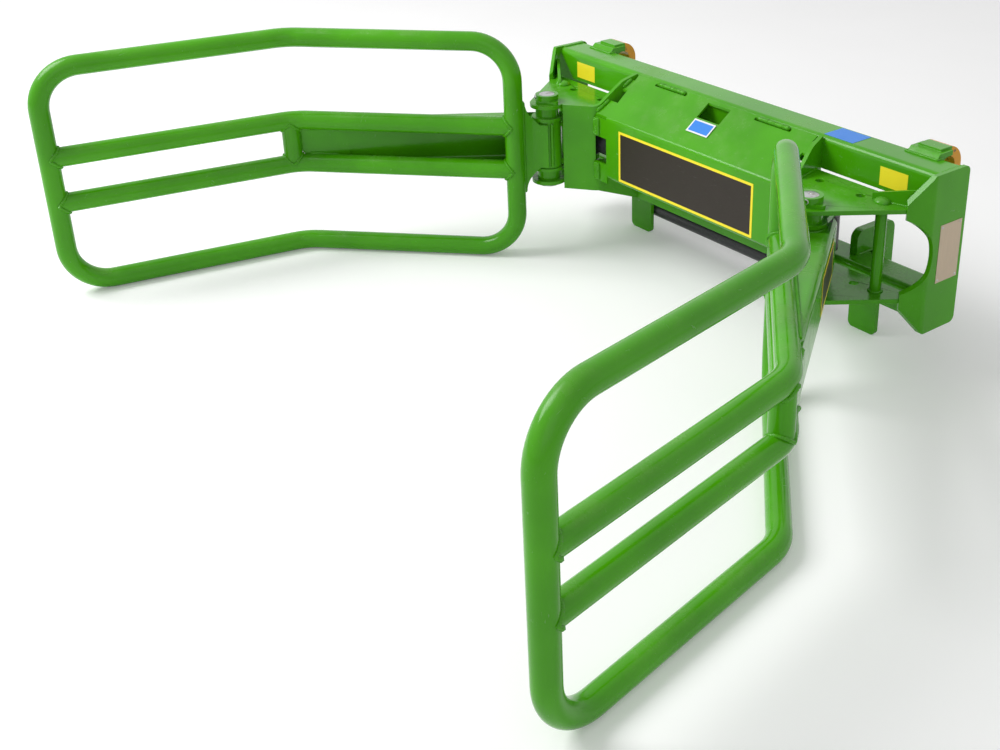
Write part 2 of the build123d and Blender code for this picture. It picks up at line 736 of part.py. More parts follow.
# Hooks that hang over the loader's top bar
with BuildPart() as hook:
    with BuildSketch(Plane.YZ.offset(hook_x - saddle_width / 2)):
        with BuildLine():
            Polyline(
                (back(beam_rear - saddle_front), beam_top),
                (back(beam_rear - saddle_front / 2), beam_top + saddle_height),
                (back(hook_setback), beam_top + saddle_height),
                (back(hook_setback), beam_top),
                close=True,
            )
        make_face()
    extrude(amount=saddle_width)
    with BuildSketch(Plane.YZ.offset(hook_x - hook_width / 2)):
        with Locations((back(hook_setback), hook_z)):
            Circle(hook_r)
            Rectangle(hook_setback - beam_rear, hook_r, align=(Align.MAX, Align.MIN))
            Rectangle(2 * hook_r, hook_r, align=(Align.CENTER, Align.MAX), mode=Mode.SUBTRACT)
            Rectangle(hook_r, hook_tip_drop, align=(Align.MIN, Align.MAX))
    extrude(amount=hook_width)
    with BuildSketch(Plane.YZ.offset(hook_x - saddle_width / 2)):
        with Locations((back(hook_setback), hook_z)):
            Circle(hook_mouth_r)
            Rectangle(2 * hook_mouth_r, hook_r, align=(Align.CENTER, Align.MAX))
        with Locations((back(beam_rear), beam_top)):
            Rectangle(hook_r, 2 * hook_r, align=(Align.MAX, Align.MAX))
    extrude(amount=saddle_width, mode=Mode.SUBTRACT)
save_pair(hook.part, "hook_bracket")

# Lower lugs: plates on the lower beam's rear that reach the floor
lug_rear = back(beam_rear + lug_plate)
with BuildPart() as lug:
    with BuildSketch(Plane.XZ.offset(-lug_rear)):
        with BuildLine():
            FilletPolyline(
                (lug_x - lug_width / 2, 0), (lug_x + lug_width / 2, 0),
                (lug_x + lug_width / 2, lower_beam_top), (lug_x - lug_width / 2, lower_beam_top),
                radius=(lug_round, lug_round, 0, 0),
                close=True,
            )
        make_face()
    extrude(amount=lug_plate)
save_pair(lug.part, "lower_lug")

# Lock plates over the lower beam and behind the lugs, bored for the loader's locking pins
with BuildPart() as lock:
    with BuildSketch(Plane.YZ.offset(lug_x - lock_plate / 2)):
        with BuildLine():
            FilletPolyline(
                (back(beam_rear - lock_plate_lap), lower_beam_top),
                (back(beam_rear - lock_plate_lap), lock_plate_top),
                (lug_rear + lock_plate_depth, lock_plate_top),
                (lug_rear + lock_plate_depth, lock_plate_bottom),
                (lug_rear, lock_plate_bottom),
                (lug_rear, lower_beam_top),
                radius=(0, lock_plate_round, lock_plate_round, lock_plate_round, 0, 0),
                close=True,
            )
        make_face()
        with Locations((lug_rear + lock_bore_depth, lock_bore_z)):
            Circle(lock_bore_d / 2, mode=Mode.SUBTRACT)
    extrude(amount=lock_plate)
save_pair(lock.part, "lock_plate")

# Cross tube behind the lugs
with BuildPart() as cross_tube:
    with BuildSketch(Plane.YZ):
        with Locations((lug_rear + cross_tube_d / 2, cross_tube_z)):
            Circle(cross_tube_d / 2)
            Circle(cross_tube_d / 2 - cross_tube_wall, mode=Mode.SUBTRACT)
    extrude(amount=lug_x - lock_plate / 2, both=True)
save(cross_tube.part, "lower_cross_tube")
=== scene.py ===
"""Looks of the bale handler: paint, weld beads, panels, screws, stage and camera."""
import json
import math
import random

import bpy
from bpy.props import FloatProperty, FloatVectorProperty, PointerProperty
from mathutils import Matrix, Vector


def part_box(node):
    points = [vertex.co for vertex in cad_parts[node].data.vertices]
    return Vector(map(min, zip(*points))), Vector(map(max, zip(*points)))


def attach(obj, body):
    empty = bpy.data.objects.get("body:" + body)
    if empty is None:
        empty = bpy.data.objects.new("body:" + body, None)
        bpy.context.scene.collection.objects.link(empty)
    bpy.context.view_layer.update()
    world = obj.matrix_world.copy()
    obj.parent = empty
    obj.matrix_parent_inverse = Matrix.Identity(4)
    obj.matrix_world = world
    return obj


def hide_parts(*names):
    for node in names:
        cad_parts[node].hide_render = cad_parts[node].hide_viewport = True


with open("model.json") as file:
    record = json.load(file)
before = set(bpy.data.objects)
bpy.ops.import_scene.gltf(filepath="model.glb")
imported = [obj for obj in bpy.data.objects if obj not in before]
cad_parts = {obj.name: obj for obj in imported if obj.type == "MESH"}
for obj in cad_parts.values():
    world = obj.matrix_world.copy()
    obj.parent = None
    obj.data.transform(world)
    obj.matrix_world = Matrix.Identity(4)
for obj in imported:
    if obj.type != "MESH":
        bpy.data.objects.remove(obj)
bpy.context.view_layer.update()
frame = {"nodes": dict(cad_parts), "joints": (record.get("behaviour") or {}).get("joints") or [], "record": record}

bl_info = {
    "name": "Bale Handler Looks",
    "version": (1, 0, 0),
    "blender": (4, 5, 0),
    "location": "View3D > Sidebar > Bale Handler",
    "description": "Paints and dresses the bale handler around its fixed frame",
    "category": "Object",
}

# Places read from the frame
JOINTS = {joint["name"]: joint for joint in frame["joints"]}
SLOT_OF = {part["node"]: part["material_slot"] for part in frame["record"]["subparts"]}
PIVOT = Vector(JOINTS["right_arm_swing"]["pos_m"])
LEVER_PIN = Vector(JOINTS["ram_barrel_pivot"]["pos_m"])
OPEN_ANGLE = -math.radians(JOINTS["right_arm_swing"]["range_deg"][0])
RAIL_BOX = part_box("right_rail_upper")
TUBE_R = (RAIL_BOX[1].z - RAIL_BOX[0].z) / 2
RAIL_RISE = (RAIL_BOX[1].z + RAIL_BOX[0].z) / 2 - PIVOT.z
KNEE_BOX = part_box("right_knee_post")
KNEE_MID = (KNEE_BOX[0] + KNEE_BOX[1]) / 2
KNEE_POST_R = 0.98 * TUBE_R        # its saddles end within the rails' sides
ROD_EYE_R = (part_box("ram_rod")[1].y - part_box("ram_rod")[0].y) / 2 + 0.001        # a hair beyond the eye
BOSS_R = (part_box("right_arm_boss")[1].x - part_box("right_arm_boss")[0].x) / 2
CHANNEL_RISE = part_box("right_arm_channel")[1].z - PIVOT.z
ROOT_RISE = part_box("right_root_plate")[1].z - PIVOT.z
LEVER_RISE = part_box("right_lever")[1].z - PIVOT.z
PLATE_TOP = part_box("right_upper_pivot_plate")[1].z
LOWER_PLATE_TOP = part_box("right_lower_pivot_plate")[1].z
COLLAR_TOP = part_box("right_pin_retainer")[1].z
BEAM_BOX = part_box("top_beam")
LOWER_BEAM_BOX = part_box("lower_beam")
END_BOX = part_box("right_end_plate")
HOOK_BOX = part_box("right_hook_bracket")
LUG_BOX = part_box("right_lower_lug")
LOCK_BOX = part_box("right_lock_plate")
CROSS_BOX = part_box("lower_cross_tube")
COVER_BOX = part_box("ram_cover")
POST_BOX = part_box("right_post")

SIDES = (("right", 1), ("left", -1))
PLATES = ("beam", "end_plate", "cheek", "pivot_plate", "gusset", "ram_cover", "pin_retainer", "hook_bracket",
          "lower_lug", "lock_plate", "arm_channel", "root_plate", "lever")
AHEAD = Vector((math.sin(OPEN_ANGLE), -math.cos(OPEN_ANGLE), 0))
OUTWARD = Vector((math.cos(OPEN_ANGLE), math.sin(OPEN_ANGLE), 0))
UP = Vector((0, 0, 1))

# Ends of the gussets and of the seams on the pivot plates, as places beside the middle and behind the pivots
GUSSET_LINES = {
    "right": ((0.517, 0.120), (0.624, 0.153)),
    "left": ((0.5388, 0.1070), (0.630, 0.1715)),
}
CHEEK_SEAM = ((0.3440, 0.078), (0.3225, 0.163))
FLANGE_SEAM = ((0.5995, 0.130), (0.6285, 0.1645))

# Ram cover: start of its slope, how that runs back and rises, and the cheeks beside it
COVER_SETBACK = 0.062
COVER_TOP = 0.388
COVER_RUN = 0.118
COVER_RISE = 0.087
CHEEK_BEND_X = 0.3385
CHEEK_BEND_SETBACK = 0.071
CHEEK_LEAN = 0.2339

# Tabs of the cover: heights of the front ones, setbacks of those on the slope, and the slot before the beam
TAB_LEVELS = (0.2395, 0.3575)
TAB_HALF = 0.023
TAB_GAP = 0.0054
TAB_SLOPE = 0.737
TAB_RUNS = ((0.3312, 0.0018), (0.3262, 0.0016), (0.3212, 0.0008))     # beside the middle, before the cover
SLOPE_TABS = ((0.068, 0.102), (0.140, 0.163))
SLOT_X = 0.173
SLOT_SETBACK = 0.1722
SLOT_LEVEL = 0.4690
SLOT_ENDS = (-0.044, 0.053)

# Beads: how far their middles stand off the plates, widths as shares of the usual one, turns of a saddle
BEAD_STAND = 0.001
SEAM_STAND = 0.0008
EDGE_STAND = 0.0005
ARM_BEAD = 1.2
FRAME_BEAD = 0.9
COVER_BEAD = 1.5
SADDLE_TURNS = [2 * math.pi * i / 40 for i in range(41)]

# Plates laid on the arms: added thickness, the toe's lap, taper and corner, and the flares' lap
PLATE_SKIN = 0.0006
TOE_LAP = 0.008
TOE_TAPER = 0.89
TOE_CORNER = 0.016
FLARE_LAP = 0.010

# Small panels: width, height and border
COVER_BLUE = (0.072, 0.038, 0.004)
BEAM_YELLOW = (0.074, 0.042, 0.0012)
BEAM_BLUE = (0.082, 0.060, 0.003)
DATA_PLATE = (0.069, 0.131, 0.003)

# Middles of the panels: beside the middle, behind the pivots, height or along the arm
COVER_PANEL_X = -0.006
COVER_PANEL_Z = 0.3005
COVER_BLUE_SETBACK = 0.113
YELLOW_X = 0.5195
YELLOW_Z = 0.4315
BEAM_BLUE_X = 0.351
BEAM_BLUE_SETBACK = 0.222
DATA_PLATE_SETBACK = 0.2275
DATA_PLATE_Z = 0.2975
ARM_PANEL_ALONG = 0.127
PANEL_LIFT = 0.0001

# Data plate and its rivets
DATA_PLATE_THICKNESS = 0.0009
RIVET_R = 0.0026
RIVET_FLAT = 0.45
RIVET_INSET = 0.006

# Plug welds over the posts, and the plugs in the ram's ports
PLUG_R = 0.0190
PLUG_SHAPE = (1.0, 0.94, 0.58)
PLUG_RAGGED = 0.015
PORTS = (("base", 0, 0.111), ("gland", 1, -0.045))      # name, end of the barrel, distance along it
PORT_EDGE = 0.0008

# Turned pieces: sides, radius, depth, and steps of the top: inset, rise of a slope and rise of a wall
PIN_END = (64, 0.0197, 0.0016, (0.0022, 0.0012, 0), (0.0142, 0, 0), (0.0008, -0.0016, 0))
SET_SCREW = (36, 0.0062, 0.006, (0.0008, 0.0007, 0), (0.0014, 0, -0.0035))
PORT_PLUG = (6, 0.0125, 0.009, (0.0035, 0, 0.008))

# Pins' ends and set-screws: how far they lie below the collar's top, and where a screw looks and how far out
PIN_RECESS = 0.0013
SCREW_DROP = 0.0065
SCREW_AHEAD = Vector((0.466, -0.885, 0)).normalized()
SCREW_REACH = 0.028

# Gloss paint's share of mirrored light
PAINT_SHEEN = 0.26

# Camera: picture, its centre of view and the camera's axes
PICTURE = (1000.0, 750.0)
VIEW_CENTRE = (596.826, 284.648)
VIEW_RIGHT = Vector((0.62362408, 0.78164188, -0.01135659))
VIEW_DOWN = Vector((0.32992067, -0.27633829, -0.90265691))
VIEW_AHEAD = Vector((-0.70869271, 0.55917181, -0.43021102))
SENSOR = 36.0

# Light: lamps by name, place, size and power, the point they aim at, the world and the floor
LAMPS = (
    ("key", (-2.6, -2.6, 4.0), 3.0, 240.0),
    ("fill", (3.6, -2.4, 2.6), 3.0, 12.0),
)
LAMP_AIM = Vector((0, 0, 0.3))
WORLD_LIGHT = 0.50
FLOOR_TONES = ((0.86, 0.86, 0.86), (0.89, 0.89, 0.89))
FLOOR_GLOW = (0.16, 0.16, 0.16)


def back(setback):
    """Y of a place that lies this far behind the line through the pivots."""
    return PIVOT.y + setback


def length_prop(name, description, default):
    """Property of a size in metres."""
    return FloatProperty(name=name, description=description, default=default, unit="LENGTH")


def colour_prop(name, description, default):
    """Property of a finish's colour."""
    return FloatVectorProperty(name=name, description=description, default=default, subtype="COLOR")


class PaintColours(bpy.types.PropertyGroup):
    """Colours of the finishes."""

    green: colour_prop("Green", "Body paint", (0.075, 0.385, 0.003))
    green_deep: colour_prop("Deep green", "Body paint where it is thick or shaded", (0.058, 0.310, 0.003))
    hook_tip: colour_prop("Hook tip", "Paint on the rear half of the hooks", (0.80, 0.36, 0.02))
    black: colour_prop("Black", "Paint of the cross tube and the ram barrel", (0.018, 0.019, 0.022))
    steel: colour_prop("Bare steel", "Turned pins and screws", (0.52, 0.53, 0.54))
    chrome: colour_prop("Chrome", "Ram rod", (0.78, 0.79, 0.80))
    panel_black: colour_prop("Panel black", "Ground of the large panels", (0.024, 0.017, 0.012))
    panel_yellow: colour_prop("Panel yellow", "Borders and small panels", (0.98, 0.80, 0.03))
    panel_blue: colour_prop("Panel blue", "Blue panels", (0.03, 0.23, 0.75))
    panel_white: colour_prop("Panel white", "Borders of the blue panels", (0.82, 0.84, 0.86))
    plate_beige: colour_prop("Data plate", "Brushed blank data plate", (0.62, 0.50, 0.36))
    dust: colour_prop("Dust", "Dust on faces that look up", (0.46, 0.42, 0.30))


class ArmPlan(bpy.types.PropertyGroup):
    """Plan of an arm's tube line, measured from its pivot."""

    near_reach: length_prop("Near upright", "Along the arm to the near upright", 0.0759)
    offset: length_prop("Grip offset", "Across the arm to the tube line", 0.060)
    near_run: length_prop("Near run", "Near upright to the knee", 0.5722)
    far_run: length_prop("Far run", "Knee to the far upright", 0.5994)
    knee: FloatProperty(name="Knee", description="Turn of the tube line at the knee", subtype="ANGLE",
                        default=math.radians(34.9))
    root_fold: length_prop("Root fold", "Along the arm to the root plate's fold", 0.032)
    web_root: length_prop("Web root", "Pivot to the channel web's outer face", 0.0576)
    web_toe: length_prop("Web toe", "Along the arm to the web's end", 0.612)
    web_toe_offset: length_prop("Web toe offset", "Across the arm at the web's end", 0.051)
    web_plate: length_prop("Web plate", "Thickness of the channel's plate", 0.008)
    toe_reach: length_prop("Toe reach", "How far the toe runs on beyond the web's end", 0.032)
    knee_shift: length_prop("Knee post shift", "Knee post beyond the crown of the knee", 0.013)
    root_neck: length_prop("Root neck", "Height of the root plate beside the boss", 0.113)
    flare_start: length_prop("Flare start", "Before the fold, where the root plate starts to rise", 0.020)
    flare_rise: length_prop("Flare rise", "Rise of the root plate's edge at the fold", 0.018)
    flare_sweep: length_prop("Flare sweep", "Radius of the root plate's edge beyond the fold", 0.060)


class GussetSizes(bpy.types.PropertyGroup):
    """Sizes of the left gusset."""

    plate: length_prop("Plate", "Thickness of the plate", 0.008)
    low: length_prop("Inner height", "Height at the inner end", 0.013)
    high: length_prop("Outer height", "Height at the end plate", 0.041)


class WeldSizes(bpy.types.PropertyGroup):
    """Sizes of the weld beads."""

    width: length_prop("Bead width", "Width of a bead", 0.0085)
    pitch: length_prop("Ripple pitch", "Length of one ripple", 0.0045)
    depth: FloatProperty(name="Ripple depth", description="Share of the radius that a ripple takes",
                         subtype="FACTOR", default=0.22)


class EdgeSizes(bpy.types.PropertyGroup):
    """Rounding of the plates' cut edges."""

    width: length_prop("Edge", "Width of a rounded edge", 0.0010)
    angle: FloatProperty(name="Angle", description="Edges sharper than this are rounded", subtype="ANGLE",
                         default=math.radians(38))


class PanelSizes(bpy.types.PropertyGroup):
    """Sizes of the blank panels."""

    cover_width: length_prop("Cover panel width", "Black panel on the cover", 0.470)
    cover_height: length_prop("Cover panel height", "Black panel on the cover", 0.131)
    arm_length: length_prop("Arm panel length", "Black panel on an arm's web", 0.20)
    arm_height: length_prop("Arm panel height", "Black panel on an arm's web", 0.084)
    border: length_prop("Border", "Width of a panel's border", 0.0065)
    thickness: length_prop("Thickness", "Thickness of a panel's foil", 0.0004)


class StageSizes(bpy.types.PropertyGroup):
    """Camera and floor."""

    camera: FloatVectorProperty(name="Camera", description="Place of the camera, from the pivots' middle",
                                subtype="TRANSLATION", default=(2.171766, -1.916229, 1.435208))
    lens: FloatProperty(name="Lens", description="Focal length in millimetres", default=47.8626, unit="CAMERA")
    floor: length_prop("Floor", "Width of the floor", 40.0)


# Shader maths and nodes

def arithmetic(operation, swapped=False):
    """Method that adds a Math node for one operation."""
    def method(self, other):
        first, second = (other, self) if swapped else (self, other)
        return self.finish.node("ShaderNodeMath", {"operation": operation}, {0: first, 1: second})
    return method


class Shade:
    """A shader value; arithmetic on it adds Math nodes."""

    __add__ = arithmetic("ADD")
    __radd__ = arithmetic("ADD", True)
    __sub__ = arithmetic("SUBTRACT")
    __rsub__ = arithmetic("SUBTRACT", True)
    __mul__ = arithmetic("MULTIPLY")
    __rmul__ = arithmetic("MULTIPLY", True)
    __gt__ = arithmetic("GREATER_THAN")

    def __init__(self, finish, socket):
        self.finish = finish
        self.socket = socket


class Finish:
    """One material, or the world, and the nodes that make it."""

    def __init__(self, owner):
        owner.use_nodes = True
        self.owner = owner
        self.tree = owner.node_tree
        self.tree.nodes.clear()
        self.place = self.node("ShaderNodeTexCoord", output="Object")

    @classmethod
    def named(cls, name):
        """A new material."""
        return cls(bpy.data.materials.new(name))

    def node(self, kind, settings=None, values=None, output=0):
        """Add a node, set it up, feed its sockets and give one of its outputs."""
        made = self.tree.nodes.new(kind)
        for key, value in (settings or {}).items():
            setattr(made, key, value)
        for socket, value in (values or {}).items():
            if isinstance(value, Shade):
                self.tree.links.new(value.socket, made.inputs[socket])
            else:
                made.inputs[socket].default_value = value
        return Shade(self, made.outputs[output]) if made.outputs else None

    def noise(self, scale, detail=2.0, roughness=0.5, stretch=(1, 1, 1), turn=(0, 0, 0)):
        """Noise over the object, in cycles per metre."""
        placing = {"Vector": self.place, "Scale": stretch, "Rotation": turn}
        mapped = self.node("ShaderNodeMapping", {}, placing)
        values = {"Vector": mapped, "Scale": scale, "Detail": detail, "Roughness": roughness}
        return self.node("ShaderNodeTexNoise", {}, values)

    def step(self, value, low, high):
        """Smooth step of a value between two levels."""
        settings = {"interpolation_type": "SMOOTHSTEP"}
        return self.node("ShaderNodeMapRange", settings, {0: value, 1: low, 2: high})

    def mix(self, factor, first, second):
        """Mix of two colours."""
        colours = [value if isinstance(value, Shade) else (*value, 1.0) for value in (first, second)]
        return self.node("ShaderNodeMix", {"data_type": "RGBA"}, {0: factor, 6: colours[0], 7: colours[1]}, 2)

    def looking_up(self):
        """Upward part of the surface's normal."""
        normal = self.node("ShaderNodeTexCoord", output="Normal")
        return self.node("ShaderNodeSeparateXYZ", {}, {0: normal}, "Z")

    def bump(self, height, distance):
        """Normal that follows a height."""
        return self.node("ShaderNodeBump", {}, {"Height": height, "Distance": distance, "Strength": 1.0})

    def surface(self, **sockets):
        """Close the material with one shader and give the material."""
        values = {}
        for key, value in sockets.items():
            values[key.replace("_", " ").title().replace("Ior", "IOR")] = value
        shader = self.node("ShaderNodeBsdfPrincipled", {}, values)
        self.node("ShaderNodeOutputMaterial", {}, {"Surface": shader})
        return self.owner


def gloss_paint(finish, bright, deep, dust_colour):
    """Sprayed gloss paint with a little dust, fine scratches and orange peel, as socket values."""
    cloud = finish.noise(5.0, 3.0)
    speck = finish.noise(160.0, 5.0, 0.65)
    scuff = finish.noise(24.0, 4.0, 0.6)
    drift = finish.noise(9.0, 6.0, 0.7)
    hair = finish.noise(70.0, 2.0, 0.5, (9.0, 0.5, 1.2), (0.3, 0.5, 0.7))
    hair_cross = finish.noise(80.0, 2.0, 0.5, (0.6, 8.0, 1.5), (0.9, 0.2, 0.4))
    dust = finish.step(finish.looking_up(), 0.35, 0.95) * finish.step(drift, 0.42, 0.72)
    specks = finish.step(speck, 0.66, 0.74) * finish.step(finish.looking_up(), -0.2, 0.8)
    scratch = finish.step(hair, 0.685, 0.715) + finish.step(hair_cross, 0.70, 0.725)
    scratch = scratch * finish.step(scuff, 0.5, 0.64)
    colour = finish.mix(finish.step(cloud, 0.3, 0.7), deep, bright)
    colour = finish.mix(dust * 0.10 + specks * 0.22, colour, dust_colour)
    colour = finish.mix(scratch * 0.30, colour, tuple(0.55 * part + 0.2 for part in bright))
    rough = 0.12 + 0.09 * finish.step(scuff, 0.35, 0.75) + 0.22 * dust + 0.22 * scratch + 0.12 * specks
    peel = finish.noise(420.0, 2.0)
    height = 0.35 * peel + 0.25 * finish.noise(38.0, 2.0) - 0.25 * scratch + 0.3 * specks
    return colour, rough, finish.bump(height, 0.00022)


def green_paint(colours):
    """Green body paint."""
    finish = Finish.named("green_paint")
    colour, rough, normal = gloss_paint(finish, colours.green, colours.green_deep, colours.dust)
    return finish.surface(base_color=colour, roughness=rough, normal=normal, specular_ior_level=PAINT_SHEEN)


def hook_paint(colours):
    """Green paint that turns orange-yellow on the rear half of the hooks, chipped at the mouth."""
    finish = Finish.named("hook_paint")
    colour, rough, normal = gloss_paint(finish, colours.green, colours.green_deep, colours.dust)
    along = finish.node("ShaderNodeSeparateXYZ", {}, {0: finish.place}, "Y")
    ragged = finish.noise(120.0, 3.0)
    middle = (HOOK_BOX[1].y + BEAM_BOX[1].y) / 2
    rear = finish.step(along + 0.006 * ragged, middle + 0.0025, middle + 0.0035)
    chips = finish.step(finish.noise(75.0, 5.0, 0.6), 0.60, 0.66)
    colour = finish.mix(rear, colour, colours.hook_tip)
    colour = finish.mix(chips * rear * 0.8, colour, (0.10, 0.085, 0.06))
    rough = rough + 0.3 * chips
    return finish.surface(base_color=colour, roughness=rough, normal=normal, specular_ior_level=PAINT_SHEEN)


def black_paint(colours):
    """Black paint, rubbed grey and rusty in patches."""
    finish = Finish.named("black_paint")
    rub = finish.step(finish.noise(18.0, 5.0, 0.65), 0.52, 0.72)
    rust = finish.step(finish.noise(34.0, 6.0, 0.7), 0.62, 0.72)
    colour = finish.mix(rub * 0.6, colours.black, (0.075, 0.078, 0.085))
    colour = finish.mix(rust * 0.7, colour, (0.13, 0.055, 0.025))
    rough = 0.34 + 0.22 * rub + 0.3 * rust
    normal = finish.bump(0.5 * finish.noise(300.0, 3.0) + 0.5 * rust, 0.0003)
    return finish.surface(base_color=colour, roughness=rough, normal=normal)


def bare_steel(colours):
    """Turned steel with a little brown bloom."""
    finish = Finish.named("bare_steel")
    bloom = finish.step(finish.noise(60.0, 5.0, 0.65), 0.50, 0.72)
    lines = finish.noise(900.0, 2.0, 0.5, (0.05, 0.05, 1.0))
    colour = finish.mix(bloom * 0.55, colours.steel, (0.22, 0.14, 0.08))
    rough = 0.24 + 0.16 * lines + 0.2 * bloom
    normal = finish.bump(0.6 * lines + 0.4 * finish.noise(500.0, 2.0), 0.00012)
    return finish.surface(base_color=colour, roughness=rough, metallic=1.0 - 0.45 * bloom, normal=normal)


def rod_chrome(colours):
    """Hard chrome with a thin film of oil, and black paint on the eye."""
    finish = Finish.named("rod_chrome")
    along = finish.node("ShaderNodeSeparateXYZ", {}, {0: finish.place}, "X")
    eye = along > -LEVER_PIN.x - ROD_EYE_R
    film = finish.step(finish.noise(26.0, 4.0, 0.6), 0.45, 0.75)
    colour = finish.mix(film * 0.35, colours.chrome, (0.42, 0.40, 0.34))
    colour = finish.mix(eye, colour, colours.black)
    lines = finish.noise(700.0, 2.0, 0.5, (0.04, 1.0, 1.0))
    return finish.surface(base_color=colour, roughness=0.08 + 0.16 * film + 0.22 * eye, metallic=1.0 - eye,
                          normal=finish.bump(lines, 0.00004))


def foil(name, colours):
    """Blank foil: an even colour, faintly mottled, dusty and scratched."""
    finish = Finish.named(name)
    colour = getattr(colours, name)
    mottle = finish.noise(30.0, 4.0, 0.6)
    hair = finish.noise(90.0, 2.0, 0.5, (0.5, 1.0, 9.0), (0.2, 0.4, 0.9))
    scratch = finish.step(hair, 0.69, 0.72) * finish.step(mottle, 0.48, 0.6)
    pale = tuple(0.75 * part + 0.16 for part in colour)
    shown = finish.mix(finish.step(mottle, 0.3, 0.8) * 0.18, colour, tuple(0.82 * part for part in colour))
    shown = finish.mix(scratch * 0.35, shown, pale)
    shown = finish.mix(finish.step(finish.noise(190.0, 5.0, 0.65), 0.67, 0.75) * 0.3, shown, colours.dust)
    rough = 0.30 + 0.15 * mottle + 0.2 * scratch
    normal = finish.bump(finish.noise(260.0, 2.0) - 0.4 * scratch, 0.00012)
    return finish.surface(base_color=shown, roughness=rough, normal=normal, specular_ior_level=0.3)


def data_plate_metal(colours):
    """Anodised sheet, brushed along its length."""
    finish = Finish.named("data_plate")
    grain = finish.noise(420.0, 3.0, 0.6, (1.0, 1.0, 0.05))
    stain = finish.step(finish.noise(45.0, 4.0, 0.6), 0.5, 0.75)
    colour = finish.mix(grain * 0.5, colours.plate_beige, tuple(0.74 * part for part in colours.plate_beige))
    colour = finish.mix(stain * 0.25, colour, colours.dust)
    return finish.surface(base_color=colour, roughness=0.34 + 0.2 * grain, metallic=0.35 - 0.2 * stain,
                          normal=finish.bump(grain, 0.00006))


MAKERS = {
    "green_paint": green_paint,
    "hook_paint": hook_paint,
    "black_paint": black_paint,
    "pin_steel": bare_steel,
    "rod_chrome": rod_chrome,
    "data_plate": data_plate_metal,
}
MADE = {}


def finish_of(name):
    """Material of a named finish, made when it is first asked for; other names than the makers' are foils."""
    colours = bpy.context.scene.handler_colours
    if name not in MADE:
        MADE[name] = MAKERS[name](colours) if name in MAKERS else foil(name, colours)
    return MADE[name]


# Modelling helpers

def start_clean():
    """Leave edit mode and deselect everything."""
    if bpy.context.object and bpy.context.object.mode != "OBJECT":
        bpy.ops.object.mode_set(mode="OBJECT")
    bpy.ops.object.select_all(action="DESELECT")


def select_only(obj):
    """Select one object and make it active."""
    start_clean()
    obj.select_set(True)
    bpy.context.view_layer.objects.active = obj
    return obj


def pick(obj, parts, test):
    """Select the points or faces of a mesh that pass a test, in edit mode."""
    bpy.ops.object.mode_set(mode="OBJECT")
    for kind in (obj.data.vertices, obj.data.edges, obj.data.polygons):
        kind.foreach_set("select", [False] * len(kind))
    for part in parts:
        part.select = test(part)
    bpy.ops.object.mode_set(mode="EDIT")


def pick_top(obj, above=0.0):
    """Select the faces that look up and lie above a level, in edit mode."""
    pick(obj, obj.data.polygons, lambda face: face.normal.z > 0.9 and face.center.z > above)


def flat_plate(width, height, quarter=(0, 0)):
    """Flat rectangle about the origin, or in one quarter of the plane with a corner there."""
    start_clean()
    bpy.ops.mesh.primitive_plane_add(size=1)
    obj = bpy.context.object
    obj.scale = (width, height, 1)
    obj.location = (quarter[0] * width / 2, quarter[1] * height / 2, 0)
    bpy.ops.object.transform_apply(location=True, scale=True)
    return obj


def cylinder(sides, radius, depth, *steps):
    """Cylinder whose top is drawn in by steps of an inset, a slope's rise and a wall's rise."""
    start_clean()
    bpy.ops.mesh.primitive_cylinder_add(vertices=sides, radius=radius, depth=depth)
    obj = bpy.context.object
    pick_top(obj)
    for inset, slope, wall in steps:
        bpy.ops.mesh.inset(thickness=inset)
        bpy.ops.transform.translate(value=(0, 0, slope))
        if wall:
            bpy.ops.mesh.extrude_region_move(TRANSFORM_OT_translate={"value": (0, 0, wall)})
    bpy.ops.object.mode_set(mode="OBJECT")
    return obj


def round_edges(obj, sizes):
    """Add a small bevel to a plate's sharp edges."""
    edges = obj.modifiers.new("edges", "BEVEL")
    edges.width = sizes.width
    edges.segments = 2
    edges.limit_method = "ANGLE"
    edges.angle_limit = sizes.angle


def thicken(thickness):
    """Give the flat mesh in edit mode a thickness about its plane, and leave edit mode."""
    bpy.ops.mesh.select_all(action="SELECT")
    bpy.ops.transform.translate(value=(0, 0, -thickness / 2))
    bpy.ops.mesh.extrude_region_move(TRANSFORM_OT_translate={"value": (0, 0, thickness)})
    bpy.ops.mesh.select_all(action="SELECT")
    bpy.ops.mesh.normals_make_consistent(inside=False)
    bpy.ops.object.mode_set(mode="OBJECT")


def settle(obj, matrix=None):
    """Move a finished mesh to its place and leave the object at the origin."""
    select_only(obj)
    if matrix is not None:
        obj.matrix_world = matrix
    bpy.ops.object.transform_apply(location=True, rotation=True, scale=True)
    return obj


def dress(obj, name, body, *finishes):
    """Name a piece, give it its finishes and let it ride on a body."""
    obj.name = name
    obj.data.name = name
    for finish in finishes:
        obj.data.materials.append(finish_of(finish))
    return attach(obj, body)


def join(objs):
    """Join objects into the first one."""
    start_clean()
    for obj in objs:
        obj.select_set(True)
    bpy.context.view_layer.objects.active = objs[0]
    bpy.ops.object.join()
    return objs[0]


def smooth(obj, degrees=40):
    """Smooth shading up to an angle."""
    select_only(obj)
    bpy.ops.object.shade_smooth_by_angle(angle=math.radians(degrees))
    return obj


def mirrored(points, sign):
    """Points of the right-hand side, or their mirror image."""
    return [Vector((sign * p[0], p[1], p[2])) for p in points]


def facing(origin, across, up):
    """Matrix that lays a flat piece on a face, its X along across and its Y along up."""
    across = Vector(across).normalized()
    out = across.cross(Vector(up)).normalized()
    up = out.cross(across)
    return Matrix.Translation(origin) @ Matrix((across, up, out)).transposed().to_4x4()


# Weld beads

def evenly(points, step):
    """Points along a path, spaced by about one step."""
    spaced = []
    for first, second in zip(points, points[1:]):
        count = max(1, round((second - first).length / step))
        spaced += [first.lerp(second, i / count) for i in range(count)]
    return spaced + [points[-1]]


